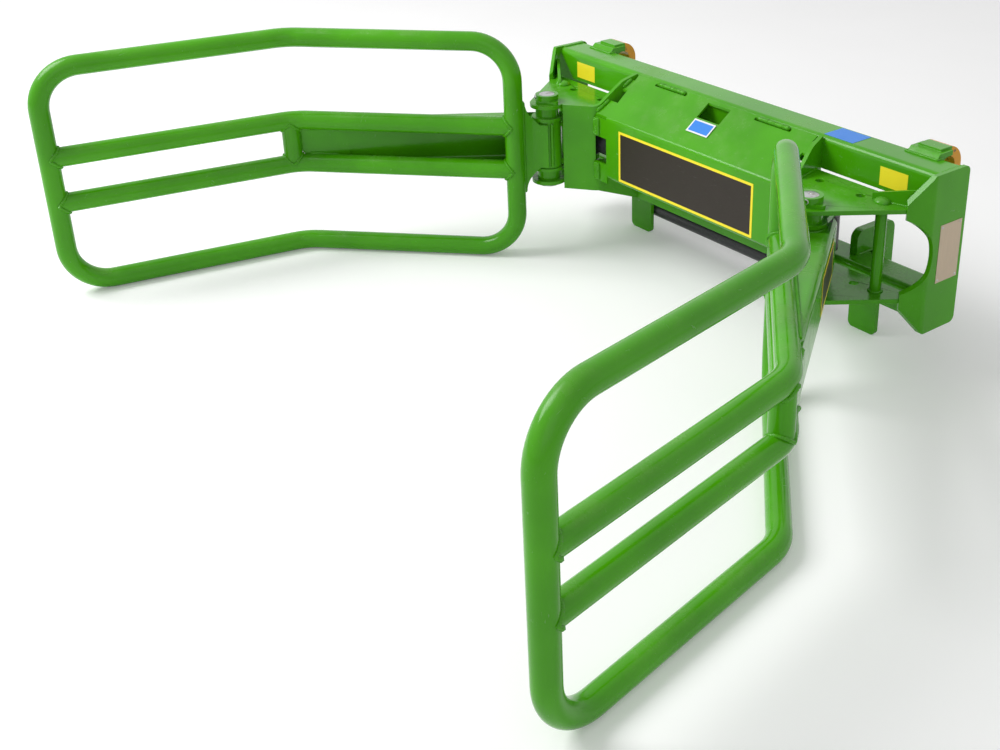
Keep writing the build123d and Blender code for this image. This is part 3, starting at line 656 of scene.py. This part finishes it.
def bead(points, sizes, rng, scale=1.0):
    """Rippled weld bead along a path, as a mesh."""
    points = [Vector(p) for p in points]
    step = sizes.pitch / 3
    uneven, end_share, end_growth = 0.06, 0.55, 0.2
    path = evenly(points, step)
    curve = bpy.data.curves.new("bead", "CURVE")
    curve.dimensions = "3D"
    curve.bevel_depth = scale * sizes.width / 2
    curve.bevel_resolution = 1
    curve.use_fill_caps = True
    spline = curve.splines.new("POLY")
    closed = (points[0] - points[-1]).length < step
    if closed:
        path = path[:-1]
    spline.points.add(len(path) - 1)
    spline.use_cyclic_u = closed
    last = len(path) - 1
    for i, place in enumerate(path):
        ripple = 1 - sizes.depth * abs(math.sin(math.pi * i / 3)) + rng.uniform(-uneven, uneven)
        taper = 1 if closed else min(1, end_share + end_growth * min(i, last - i))
        spline.points[i].co = (*place, 1)
        spline.points[i].radius = ripple * taper
    obj = bpy.data.objects.new("bead", curve)
    bpy.context.scene.collection.objects.link(obj)
    select_only(obj)
    bpy.ops.object.convert(target="MESH")
    return bpy.context.object


def beads(paths, name, body, seed, scale=1.0):
    """All beads of one group, as one painted piece."""
    rng = random.Random(seed)
    sizes = bpy.context.scene.handler_welds
    piece = join([bead(path, sizes, rng, scale) for path in paths])
    smooth(piece, 75)
    return dress(piece, name, body, "green_paint")


def arm_point(along, outward, height):
    """Place on the right arm, from its pivot."""
    return PIVOT + AHEAD * along + OUTWARD * outward + UP * height


def ring(center, first, second, radius, start=0.0, stop=2 * math.pi, count=36):
    """Points of an arc about a centre, in the plane of two axes."""
    turns = [start + (stop - start) * i / count for i in range(count + 1)]
    return [center + first * (radius * math.cos(t)) + second * (radius * math.sin(t)) for t in turns]


def cope_path(post, along, height):
    """Saddle where a rail's end meets an upright."""
    across = UP.cross(along)
    path = []
    for turn in SADDLE_TURNS:
        side = TUBE_R * math.cos(turn)
        reach = math.sqrt(max(TUBE_R ** 2 - side ** 2, 0)) + BEAD_STAND
        path.append(post + UP * (height + TUBE_R * math.sin(turn)) + along * reach + across * side)
    return path


def far_direction(plan):
    """Direction of the right arm's far run."""
    return AHEAD * math.cos(plan.knee) - OUTWARD * math.sin(plan.knee)


def knee_place(plan):
    """Middle of the right arm's knee post."""
    return KNEE_MID + (AHEAD + far_direction(plan)).normalized() * plan.knee_shift


def web_slope(plan):
    """Fall of the channel's web towards the rails, per length along the arm."""
    return (plan.web_root - plan.web_plate / 2 + plan.web_toe_offset) / plan.web_toe


def web_mid(plan, along):
    """Offset of the web's middle plane at a distance along the arm."""
    return plan.web_root - plan.web_plate / 2 - web_slope(plan) * along


def web_leaves_rails(plan):
    """Distance along the arm at which the web meets the rails' sides."""
    return (plan.web_root - plan.web_plate / 2 + plan.offset - TUBE_R) / web_slope(plan)


def knee_path(plan, sign):
    """Saddle where the knee post meets a rail."""
    along = (AHEAD + far_direction(plan)).normalized()
    across = UP.cross(along)
    middle = knee_place(plan)
    path = []
    for turn in SADDLE_TURNS:
        side = KNEE_POST_R * math.sin(turn)
        rise = RAIL_RISE - math.sqrt(TUBE_R ** 2 - side ** 2)
        path.append(middle + UP * (sign * rise) + along * (KNEE_POST_R * math.cos(turn)) + across * side)
    return path


def arm_weld_paths(plan):
    """Bead paths of the right arm."""
    near = arm_point(plan.near_reach, -plan.offset, 0)
    knee = arm_point(plan.near_reach + plan.near_run, -plan.offset, 0)
    far_dir = far_direction(plan)
    far = knee + far_dir * plan.far_run
    seam_start, seam_step, seam_stand = 0.020, 0.0106, 0.0012
    root_half, neck_half, neck_behind, neck_sink = 0.0045, 0.057, 0.0165, 0.002
    boss_arc = (math.radians(-12), math.radians(108), 24)
    lever_arc = (-0.62, 0.62, 14)
    paths = []
    for sign in (1, -1):
        height = sign * RAIL_RISE
        paths += [cope_path(near, AHEAD, height), cope_path(far, -far_dir, height)]
        paths.append(knee_path(plan, sign))
        rim = sign * CHANNEL_RISE
        edge = -plan.offset + TUBE_R - BEAD_STAND
        flange_end = web_leaves_rails(plan)
        paths.append([arm_point(plan.near_reach + TUBE_R, edge, rim), arm_point(flange_end, edge, rim)])
        toe = [flange_end + seam_start + seam_step * i for i in range(8)]
        for skin in (1, -1):
            seam = []
            for along in toe:
                offset = web_mid(plan, along) + skin * (plan.web_plate / 2 + seam_stand)
                aside = min(abs(offset + plan.offset), TUBE_R)
                rise = RAIL_RISE - math.sqrt(TUBE_R ** 2 - aside ** 2) - SEAM_STAND
                seam.append(arm_point(along, offset, sign * rise))
            paths.append(seam)
        strap = PIVOT + UP * (sign * (LEVER_RISE - EDGE_STAND))
        paths.append(ring(strap, AHEAD, OUTWARD, BOSS_R + BEAD_STAND, *boss_arc))
        toward = (Vector((-LEVER_PIN.x, LEVER_PIN.y, PIVOT.z)) - PIVOT).normalized()
        paths.append(ring(strap, toward, UP.cross(toward), BOSS_R + BEAD_STAND, *lever_arc))
    fold = arm_point(plan.root_fold, -BOSS_R - plan.web_plate / 2, 0)
    run = (near - fold).normalized()
    side = UP.cross(run) * root_half
    meet = near - run * (TUBE_R - SEAM_STAND)
    corners = [(1, 1), (1, -1), (-1, -1), (-1, 1), (1, 1)]
    paths.append([meet + side * s + UP * (ROOT_RISE * h) for s, h in corners])
    paths.append([arm_point(-neck_behind, -BOSS_R + neck_sink, h) for h in (-neck_half, neck_half)])
    return paths


def frame_weld_paths(gusset_line):
    """Bead paths of one half of the headstock, laid out on the right."""
    paths = []
    for level in (PLATE_TOP, LOWER_PLATE_TOP):
        for seam in (CHEEK_SEAM, FLANGE_SEAM):
            paths.append([(x, back(setback), level + SEAM_STAND) for x, setback in seam])
    gusset_half, gusset_seam, gusset_stand = 0.0042, 0.093, 0.0006
    inner, outer = (Vector((x, back(setback), PLATE_TOP + gusset_stand)) for x, setback in gusset_line)
    along = (outer - inner).normalized()
    across = UP.cross(along)
    foot = inner + along * gusset_half
    for side in (1, -1):
        start = foot + across * (gusset_half * side)
        paths.append([start, start + along * gusset_seam])
    post = (POST_BOX[0] + POST_BOX[1]) / 2
    post_r = (POST_BOX[1].x - POST_BOX[0].x) / 2
    for level in (POST_BOX[0].z + BEAD_STAND, POST_BOX[1].z - BEAD_STAND):
        middle = Vector((post.x, post.y, level))
        paths.append(ring(middle, Vector((1, 0, 0)), Vector((0, 1, 0)), post_r + SEAM_STAND))
    end_inset, beam_seam = 0.0112, (0.190, 0.258)
    for level in (BEAM_BOX[1].z, LOWER_BEAM_BOX[1].z):
        paths.append([(END_BOX[1].x - end_inset, back(setback), level) for setback in beam_seam])
    hook_clear = 0.006
    front, rear = HOOK_BOX[0].y - EDGE_STAND, BEAM_BOX[1].y - hook_clear
    left, right = HOOK_BOX[0].x - BEAD_STAND, HOOK_BOX[1].x + BEAD_STAND
    top = BEAM_BOX[1].z + EDGE_STAND
    paths.append([(x, y, top) for x, y in ((left, rear), (left, front), (right, front), (right, rear))])
    lug_top, lug_rear, short = LUG_BOX[1].z, LUG_BOX[1].y, 0.004
    face = LUG_BOX[0].y + gusset_stand
    for side in (LUG_BOX[0].x - EDGE_STAND, LUG_BOX[1].x + EDGE_STAND):
        paths.append([(side, face, LOWER_BEAM_BOX[0].z), (side, face, lug_top - short)])
    for side in (LOCK_BOX[0].x - EDGE_STAND, LOCK_BOX[1].x + EDGE_STAND):
        level = lug_top + EDGE_STAND
        paths.append([(side, LOCK_BOX[0].y + short, level), (side, lug_rear, level)])
        behind = lug_rear + EDGE_STAND
        paths.append([(side, behind, LOCK_BOX[0].z + short), (side, behind, lug_top)])
    tube_z = (CROSS_BOX[0].z + CROSS_BOX[1].z) / 2
    tube_seam, tube_stand, tube_end = 0.011, 0.0015, 0.002
    ends = (LUG_BOX[0].x + short, CROSS_BOX[1].x - tube_end)
    for level in (tube_z - tube_seam, tube_z + tube_seam):
        paths.append([(x, lug_rear + tube_stand, level) for x in ends])
    return paths


def slope_tab_point(sign, setback):
    """Place on the cover's slope, beside a cheek."""
    aside = CHEEK_BEND_X - CHEEK_LEAN * (setback - CHEEK_BEND_SETBACK) - TAB_GAP
    rise = TAB_SLOPE * (setback - COVER_SETBACK)
    return (sign * aside, back(setback), COVER_TOP + rise + SEAM_STAND)


def cover_weld_paths(sign):
    """Bead paths of one half of the cover: front tabs, slope tabs and the slot beside the beam."""
    paths = []
    for level in TAB_LEVELS:
        for aside, ahead in TAB_RUNS:
            front = COVER_BOX[0].y - ahead
            paths.append([(sign * aside, front, level + end) for end in (-TAB_HALF, TAB_HALF)])
    paths += [[slope_tab_point(sign, setback) for setback in ends] for ends in SLOPE_TABS]
    paths.append([(sign * SLOT_X + reach, back(SLOT_SETBACK), SLOT_LEVEL) for reach in SLOT_ENDS])
    return paths


class HANDLER_OT_paint(bpy.types.Operator):
    """Give every CAD piece its finish"""

    bl_idname = "handler.paint"
    bl_label = "Paint the pieces"

    def execute(self, context):
        for node, obj in frame["nodes"].items():
            obj.data.materials.clear()
            obj.data.materials.append(finish_of(SLOT_OF[node]))
        return {"FINISHED"}


class HANDLER_OT_soften(bpy.types.Operator):
    """Round the cut edges of the plates a little"""

    bl_idname = "handler.soften"
    bl_label = "Soften the plates' edges"

    def execute(self, context):
        sizes = context.scene.handler_edges
        for node, obj in frame["nodes"].items():
            if not node.endswith(PLATES):
                continue
            merge = obj.modifiers.new("merge", "WELD")
            merge.merge_threshold = 1e-6
            round_edges(obj, sizes)
            normals = obj.modifiers.new("normals", "WEIGHTED_NORMAL")
            normals.keep_sharp = False
        return {"FINISHED"}


def web_toe(plan):
    """Toe of a channel's web, tapered into the rails, its corners cut off beside the knee post."""
    start = web_leaves_rails(plan) - TOE_LAP
    length = plan.web_toe + plan.toe_reach - start
    obj = flat_plate(length, 2 * RAIL_RISE)
    pick(obj, obj.data.vertices, lambda point: point.co.x > 0)
    bpy.ops.transform.resize(value=(1, 1 - TOE_TAPER * TUBE_R / RAIL_RISE, 1))
    bpy.ops.mesh.bevel(offset=TOE_CORNER, affect="VERTICES")
    thicken(plan.web_plate + PLATE_SKIN)
    return obj, start + length / 2


def flare_wedge(plan):
    """Rise of the root plate's edge up to its fold, with the fold at the origin."""
    wedge = flat_plate(plan.flare_start, FLARE_LAP, (-1, -1))
    near = -FLARE_LAP / 2
    pick(wedge, wedge.data.vertices, lambda point: point.co.x > near and point.co.y > near)
    bpy.ops.transform.translate(value=(0, plan.flare_rise, 0))
    thicken(plan.web_plate + PLATE_SKIN)
    return wedge


def flare_cove(plan, width):
    """Hollow edge of the root plate from its fold to the near upright, with the fold at the origin."""
    low, high = -FLARE_LAP, ROOT_RISE - plan.root_neck / 2
    inside, through = 0.006, 0.05
    slant = math.atan2(plan.flare_rise, plan.flare_start)
    cutter = cylinder(128, plan.flare_sweep, through)
    rise = plan.flare_rise + plan.flare_sweep * math.cos(slant)
    cutter.location = (-plan.flare_sweep * math.sin(slant), rise, 0)
    bpy.ops.object.transform_apply(location=True)
    bpy.ops.mesh.primitive_cube_add(size=1)
    block = bpy.context.object
    block.scale = (width + inside, high - low, plan.web_plate + PLATE_SKIN)
    block.location = ((width + inside) / 2, (high + low) / 2, 0)
    bpy.ops.object.transform_apply(location=True, scale=True)
    cut = block.modifiers.new("cut", "BOOLEAN")
    cut.object = cutter
    bpy.ops.object.modifier_apply(modifier="cut")
    bpy.data.objects.remove(cutter)
    return block


def root_flare(plan, sign):
    """Flared edges of one root plate, above and below."""
    fold = arm_point(plan.root_fold, -BOSS_R - plan.web_plate / 2, 0)
    toward = arm_point(plan.near_reach, -plan.offset, 0) - fold
    edges = []
    for up in (1, -1):
        place, run, ahead = mirrored((fold + UP * (up * plan.root_neck / 2), toward, AHEAD), sign)
        edges.append(settle(flare_wedge(plan), facing(place, ahead, UP * up)))
        edges.append(settle(flare_cove(plan, toward.length - TUBE_R), facing(place, run, UP * up)))
    return join(edges)


class HANDLER_OT_arm_plates(bpy.types.Operator):
    """Toes of the arms' webs and flared edges of their root plates"""

    bl_idname = "handler.arm_plates"
    bl_label = "Arm plates"

    def execute(self, context):
        plan = context.scene.handler_arm
        for side, sign in SIDES:
            toe, middle = web_toe(plan)
            along = AHEAD - OUTWARD * web_slope(plan)
            place, run = mirrored((arm_point(middle, web_mid(plan, middle), 0), along), sign)
            settle(toe, facing(place, run, UP))
            dress(smooth(toe), f"{side}_web_toe", f"{side}_arm", "green_paint")
            flare = smooth(root_flare(plan, sign))
            dress(flare, f"{side}_root_flare", f"{side}_arm", "green_paint")
        return {"FINISHED"}


class HANDLER_OT_knee_posts(bpy.types.Operator):
    """Tubes between the rails at the knees"""

    bl_idname = "handler.knee_posts"
    bl_label = "Knee posts"

    def execute(self, context):
        for side, sign in SIDES:
            post = cylinder(72, KNEE_POST_R, 2 * RAIL_RISE)
            settle(post, Matrix.Translation(mirrored([knee_place(context.scene.handler_arm)], sign)[0]))
            dress(smooth(post), f"{side}_knee_tube", f"{side}_arm", "green_paint")
            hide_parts(f"{side}_knee_post")
        return {"FINISHED"}


class HANDLER_OT_left_gusset(bpy.types.Operator):
    """Upright plate from the left upper pivot plate to the bend of the end plate"""

    bl_idname = "handler.left_gusset"
    bl_label = "Left gusset"

    def execute(self, context):
        sizes = context.scene.handler_gusset
        inner, outer = (Vector((-x, back(setback), PLATE_TOP)) for x, setback in GUSSET_LINES["left"])
        plate = flat_plate((outer - inner).length, sizes.high, (1, 1))
        pick(plate, plate.data.vertices, lambda point: point.co.x < sizes.plate and point.co.y > sizes.plate)
        bpy.ops.transform.translate(value=(0, sizes.low - sizes.high, 0))
        bpy.ops.mesh.bevel(offset=sizes.plate, segments=4, affect="VERTICES")
        thicken(sizes.plate)
        round_edges(plate, context.scene.handler_edges)
        bpy.ops.object.modifier_apply(modifier="edges")
        settle(plate, facing(inner, outer - inner, UP))
        dress(smooth(plate), "left_gusset_plate", "frame", "green_paint")
        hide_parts("left_gusset")
        return {"FINISHED"}


class HANDLER_OT_arm_welds(bpy.types.Operator):
    """Weld beads on both arms"""

    bl_idname = "handler.arm_welds"
    bl_label = "Arm welds"

    def execute(self, context):
        for seed, (side, sign) in enumerate(SIDES):
            paths = [mirrored(path, sign) for path in arm_weld_paths(context.scene.handler_arm)]
            beads(paths, f"{side}_arm_welds", f"{side}_arm", 10 + seed, ARM_BEAD)
        return {"FINISHED"}


class HANDLER_OT_frame_welds(bpy.types.Operator):
    """Weld beads on both halves of the headstock"""

    bl_idname = "handler.frame_welds"
    bl_label = "Headstock welds"

    def execute(self, context):
        for seed, (side, sign) in enumerate(SIDES):
            paths = [mirrored(path, sign) for path in frame_weld_paths(GUSSET_LINES[side])]
            beads(paths, f"{side}_frame_welds", "frame", 20 + seed, FRAME_BEAD)
            beads(cover_weld_paths(sign), f"{side}_cover_welds", "frame", 30 + seed, COVER_BEAD)
        return {"FINISHED"}


def panel(width, height, border, thickness):
    """Flat foil, its inner field as a second material."""
    obj = flat_plate(width, height)
    bpy.ops.object.mode_set(mode="EDIT")
    bpy.ops.mesh.select_all(action="SELECT")
    bpy.ops.mesh.extrude_region_move(TRANSFORM_OT_translate={"value": (0, 0, thickness)})
    pick_top(obj, thickness / 2)
    bpy.ops.mesh.inset(thickness=border)
    bpy.ops.object.mode_set(mode="OBJECT")
    for face in obj.data.polygons:
        face.material_index = int(face.select)
    return obj


class HANDLER_OT_cover_panels(bpy.types.Operator):
    """Blank panels on the ram cover"""

    bl_idname = "handler.cover_panels"
    bl_label = "Cover panels"

    def execute(self, context):
        sizes = context.scene.handler_panels
        large = panel(sizes.cover_width, sizes.cover_height, sizes.border, sizes.thickness)
        place = (COVER_PANEL_X, COVER_BOX[0].y - PANEL_LIFT, COVER_PANEL_Z)
        settle(large, facing(place, (1, 0, 0), UP))
        dress(large, "cover_panel", "frame", "panel_yellow", "panel_black")
        slope = Vector((0, COVER_RUN, COVER_RISE)).normalized()
        out = Vector((1, 0, 0)).cross(slope)
        rise = (COVER_BLUE_SETBACK - COVER_SETBACK) * COVER_RISE / COVER_RUN
        middle = Vector((0, back(COVER_BLUE_SETBACK), COVER_TOP + rise)) + out * (3 * PANEL_LIFT)
        blue = panel(*COVER_BLUE, sizes.thickness)
        settle(blue, facing(middle, (1, 0, 0), slope))
        dress(blue, "cover_blue_panel", "frame", "panel_white", "panel_blue")
        return {"FINISHED"}


class HANDLER_OT_beam_panels(bpy.types.Operator):
    """Blank panels on the top beam"""

    bl_idname = "handler.beam_panels"
    bl_label = "Beam panels"

    def execute(self, context):
        sizes = context.scene.handler_panels
        for side, sign in SIDES:
            yellow = panel(*BEAM_YELLOW, sizes.thickness)
            settle(yellow, facing((sign * YELLOW_X, BEAM_BOX[0].y - PANEL_LIFT, YELLOW_Z), (1, 0, 0), UP))
            dress(yellow, f"{side}_yellow_panel", "frame", "panel_yellow", "panel_yellow")
        blue = panel(*BEAM_BLUE, sizes.thickness)
        place = (BEAM_BLUE_X, back(BEAM_BLUE_SETBACK), BEAM_BOX[1].z + PANEL_LIFT)
        settle(blue, facing(place, (1, 0, 0), (0, 1, 0)))
        dress(blue, "beam_blue_panel", "frame", "panel_blue", "panel_blue")
        return {"FINISHED"}


class HANDLER_OT_arm_panels(bpy.types.Operator):
    """Blank panels on the outer faces of the arm channels"""

    bl_idname = "handler.arm_panels"
    bl_label = "Arm panels"

    def execute(self, context):
        plan = context.scene.handler_arm
        sizes = context.scene.handler_panels
        along = (AHEAD - OUTWARD * web_slope(plan)).normalized()
        skin = plan.web_plate / 2 * math.hypot(1, web_slope(plan)) + PLATE_SKIN
        middle = arm_point(ARM_PANEL_ALONG, web_mid(plan, ARM_PANEL_ALONG) + skin, 0)
        for side, sign in SIDES:
            flat = panel(sizes.arm_length, sizes.arm_height, sizes.border, sizes.thickness)
            place, run = mirrored((middle, along), sign)
            settle(flat, facing(place, -sign * run, UP))
            dress(flat, f"{side}_arm_panel", f"{side}_arm", "panel_yellow", "panel_black")
        return {"FINISHED"}


class HANDLER_OT_data_plate(bpy.types.Operator):
    """Blank riveted data plate on the right end plate"""

    bl_idname = "handler.data_plate"
    bl_label = "Data plate"

    def execute(self, context):
        width, height = DATA_PLATE[:2]
        plate = panel(*DATA_PLATE, DATA_PLATE_THICKNESS)
        middle = Vector((END_BOX[1].x + PANEL_LIFT, back(DATA_PLATE_SETBACK), DATA_PLATE_Z))
        settle(plate, facing(middle, (0, 1, 0), UP))
        dress(plate, "data_plate", "frame", "data_plate", "data_plate")
        rivets = []
        for across in (-1, 1):
            for up in (-1, 1):
                start_clean()
                bpy.ops.mesh.primitive_uv_sphere_add(segments=16, ring_count=8, radius=RIVET_R)
                rivet = bpy.context.object
                rivet.scale = (RIVET_FLAT, 1, 1)
                bpy.ops.object.transform_apply(scale=True)
                aside = across * (width / 2 - RIVET_INSET)
                offset = Vector((DATA_PLATE_THICKNESS, aside, up * (height / 2 - RIVET_INSET)))
                settle(rivet, Matrix.Translation(middle + offset))
                rivets.append(rivet)
        heads = smooth(join(rivets))
        dress(heads, "data_plate_rivets", "frame", "pin_steel")
        return {"FINISHED"}


class HANDLER_OT_pin_tops(bpy.types.Operator):
    """Turned ends of the pivot pins, with a chamfer and a centre hole"""

    bl_idname = "handler.pin_tops"
    bl_label = "Pin tops"

    def execute(self, context):
        for side, sign in SIDES:
            top = cylinder(*PIN_END)
            settle(top, Matrix.Translation((sign * PIVOT.x, PIVOT.y, COLLAR_TOP - PIN_RECESS)))
            dress(smooth(top, 30), f"{side}_pin_top", "frame", "pin_steel")
        return {"FINISHED"}


class HANDLER_OT_set_screws(bpy.types.Operator):
    """Socket set-screws in the pins' collars"""

    bl_idname = "handler.set_screws"
    bl_label = "Set-screws"

    def execute(self, context):
        for side, sign in SIDES:
            screw = cylinder(*SET_SCREW)
            axis, out = mirrored((PIVOT, SCREW_AHEAD), sign)
            axis.z = COLLAR_TOP - SCREW_DROP
            settle(screw, facing(axis + out * SCREW_REACH, UP.cross(out), UP))
            dress(smooth(screw, 30), f"{side}_set_screw", "frame", "pin_steel")
        return {"FINISHED"}


class HANDLER_OT_post_plugs(bpy.types.Operator):
    """Painted plug welds on the upper pivot plates, over the posts"""

    bl_idname = "handler.post_plugs"
    bl_label = "Plug welds"

    def execute(self, context):
        rng = random.Random(5)
        for side, sign in SIDES:
            start_clean()
            bpy.ops.mesh.primitive_uv_sphere_add(segments=40, ring_count=20, radius=PLUG_R)
            plug = bpy.context.object
            for vertex in plug.data.vertices:
                vertex.co *= 1 + rng.uniform(-PLUG_RAGGED, PLUG_RAGGED)
            plug.scale = PLUG_SHAPE
            bpy.ops.object.transform_apply(scale=True)
            post = (POST_BOX[0] + POST_BOX[1]) / 2
            settle(plug, Matrix.Translation((sign * post.x, post.y, PLATE_TOP)))
            dress(smooth(plug, 80), f"{side}_post_plug", "frame", "green_paint")
        return {"FINISHED"}


class HANDLER_OT_port_plugs(bpy.types.Operator):
    """Hexagon adaptors with blanking caps on the ram's ports"""

    bl_idname = "handler.port_plugs"
    bl_label = "Port plugs"

    def execute(self, context):
        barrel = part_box("ram_barrel")
        for name, end, along in PORTS:
            plug = cylinder(*PORT_PLUG)
            soft = plug.modifiers.new("soft", "BEVEL")
            soft.width = PORT_EDGE
            soft.segments = 2
            bpy.ops.object.modifier_apply(modifier="soft")
            place = (barrel[end].x + along, barrel[1].y + PORT_PLUG[2] / 2, LEVER_PIN.z)
            settle(plug, facing(place, (-1, 0, 0), UP))
            dress(smooth(plug, 30), f"{name}_port_plug", "ram_barrel", "pin_steel")
        return {"FINISHED"}


def seen_rays(finish):
    """One for rays that show the background, straight, mirrored or through glass, and else nothing."""
    camera, glossy, through = (finish.node("ShaderNodeLightPath", output=f"Is {kind} Ray")
                               for kind in ("Camera", "Glossy", "Transmission"))
    return camera + glossy + through


class HANDLER_OT_stage(bpy.types.Operator):
    """Floor, light and camera"""

    bl_idname = "handler.stage"
    bl_label = "Stage"

    def execute(self, context):
        scene = context.scene
        sizes = scene.handler_stage
        start_clean()
        bpy.ops.mesh.primitive_plane_add(size=sizes.floor)
        floor = bpy.context.object
        floor.name = "floor"
        pale = Finish.named("floor")
        tone = pale.mix(pale.noise(3.0, 2.0), *FLOOR_TONES)
        glow = pale.mix(seen_rays(pale), (0, 0, 0), FLOOR_GLOW)
        floor.data.materials.append(pale.surface(base_color=tone, roughness=0.9, emission_color=glow,
                                                 emission_strength=1.0))
        for name, place, size, power in LAMPS:
            lamp = bpy.data.lights.new(name, "AREA")
            lamp.size = size
            lamp.energy = power
            obj = bpy.data.objects.new(name, lamp)
            obj.location = place
            obj.rotation_euler = (LAMP_AIM - Vector(place)).to_track_quat("-Z", "Y").to_euler()
            scene.collection.objects.link(obj)
        scene.world = bpy.data.worlds.new("studio")
        sky = Finish(scene.world)
        strength = WORLD_LIGHT + (1 - WORLD_LIGHT) * seen_rays(sky)
        light = sky.node("ShaderNodeBackground", {}, {"Color": (1, 1, 1, 1), "Strength": strength})
        sky.node("ShaderNodeOutputWorld", {}, {"Surface": light})
        lens = bpy.data.cameras.new("camera")
        lens.sensor_width = SENSOR
        lens.lens = sizes.lens
        lens.shift_x = (PICTURE[0] / 2 - VIEW_CENTRE[0]) / PICTURE[0]
        lens.shift_y = (VIEW_CENTRE[1] - PICTURE[1] / 2) / PICTURE[0]
        camera = bpy.data.objects.new("camera", lens)
        turn = Matrix((VIEW_RIGHT, -VIEW_DOWN, -VIEW_AHEAD)).transposed().to_4x4()
        camera.matrix_world = Matrix.Translation(Vector(sizes.camera) + Vector((0, PIVOT.y, 0))) @ turn
        scene.collection.objects.link(camera)
        scene.camera = camera
        scene.view_settings.view_transform = "Standard"
        return {"FINISHED"}


class HANDLER_PT_looks(bpy.types.Panel):
    """Steps that dress the bale handler"""

    bl_label = "Bale Handler"
    bl_idname = "HANDLER_PT_looks"
    bl_space_type = "VIEW_3D"
    bl_region_type = "UI"
    bl_category = "Bale Handler"

    def draw(self, context):
        for operator in OPERATORS:
            self.layout.operator(operator.bl_idname)
        for group in GROUPS:
            settings = getattr(context.scene, group)
            box = self.layout.box()
            for name in settings.__annotations__:
                box.prop(settings, name)


GROUPS = {
    "handler_colours": PaintColours,
    "handler_arm": ArmPlan,
    "handler_gusset": GussetSizes,
    "handler_edges": EdgeSizes,
    "handler_welds": WeldSizes,
    "handler_panels": PanelSizes,
    "handler_stage": StageSizes,
}
OPERATORS = (
    HANDLER_OT_paint,
    HANDLER_OT_soften,
    HANDLER_OT_arm_plates,
    HANDLER_OT_knee_posts,
    HANDLER_OT_left_gusset,
    HANDLER_OT_arm_welds,
    HANDLER_OT_frame_welds,
    HANDLER_OT_cover_panels,
    HANDLER_OT_beam_panels,
    HANDLER_OT_arm_panels,
    HANDLER_OT_data_plate,
    HANDLER_OT_pin_tops,
    HANDLER_OT_set_screws,
    HANDLER_OT_post_plugs,
    HANDLER_OT_port_plugs,
    HANDLER_OT_stage,
)


def register():
    for cls in (*GROUPS.values(), *OPERATORS, HANDLER_PT_looks):
        bpy.utils.register_class(cls)
    for name, group in GROUPS.items():
        setattr(bpy.types.Scene, name, PointerProperty(type=group))


def unregister():
    for name in GROUPS:
        delattr(bpy.types.Scene, name)
    for cls in (HANDLER_PT_looks, *reversed(OPERATORS), *GROUPS.values()):
        bpy.utils.unregister_class(cls)


def main():
    """Register the add-on and run every step that dresses the handler."""
    register()
    for operator in OPERATORS:
        group, name = operator.bl_idname.split(".")
        getattr(getattr(bpy.ops, group), name)()


if __name__ == "__main__":
    main()
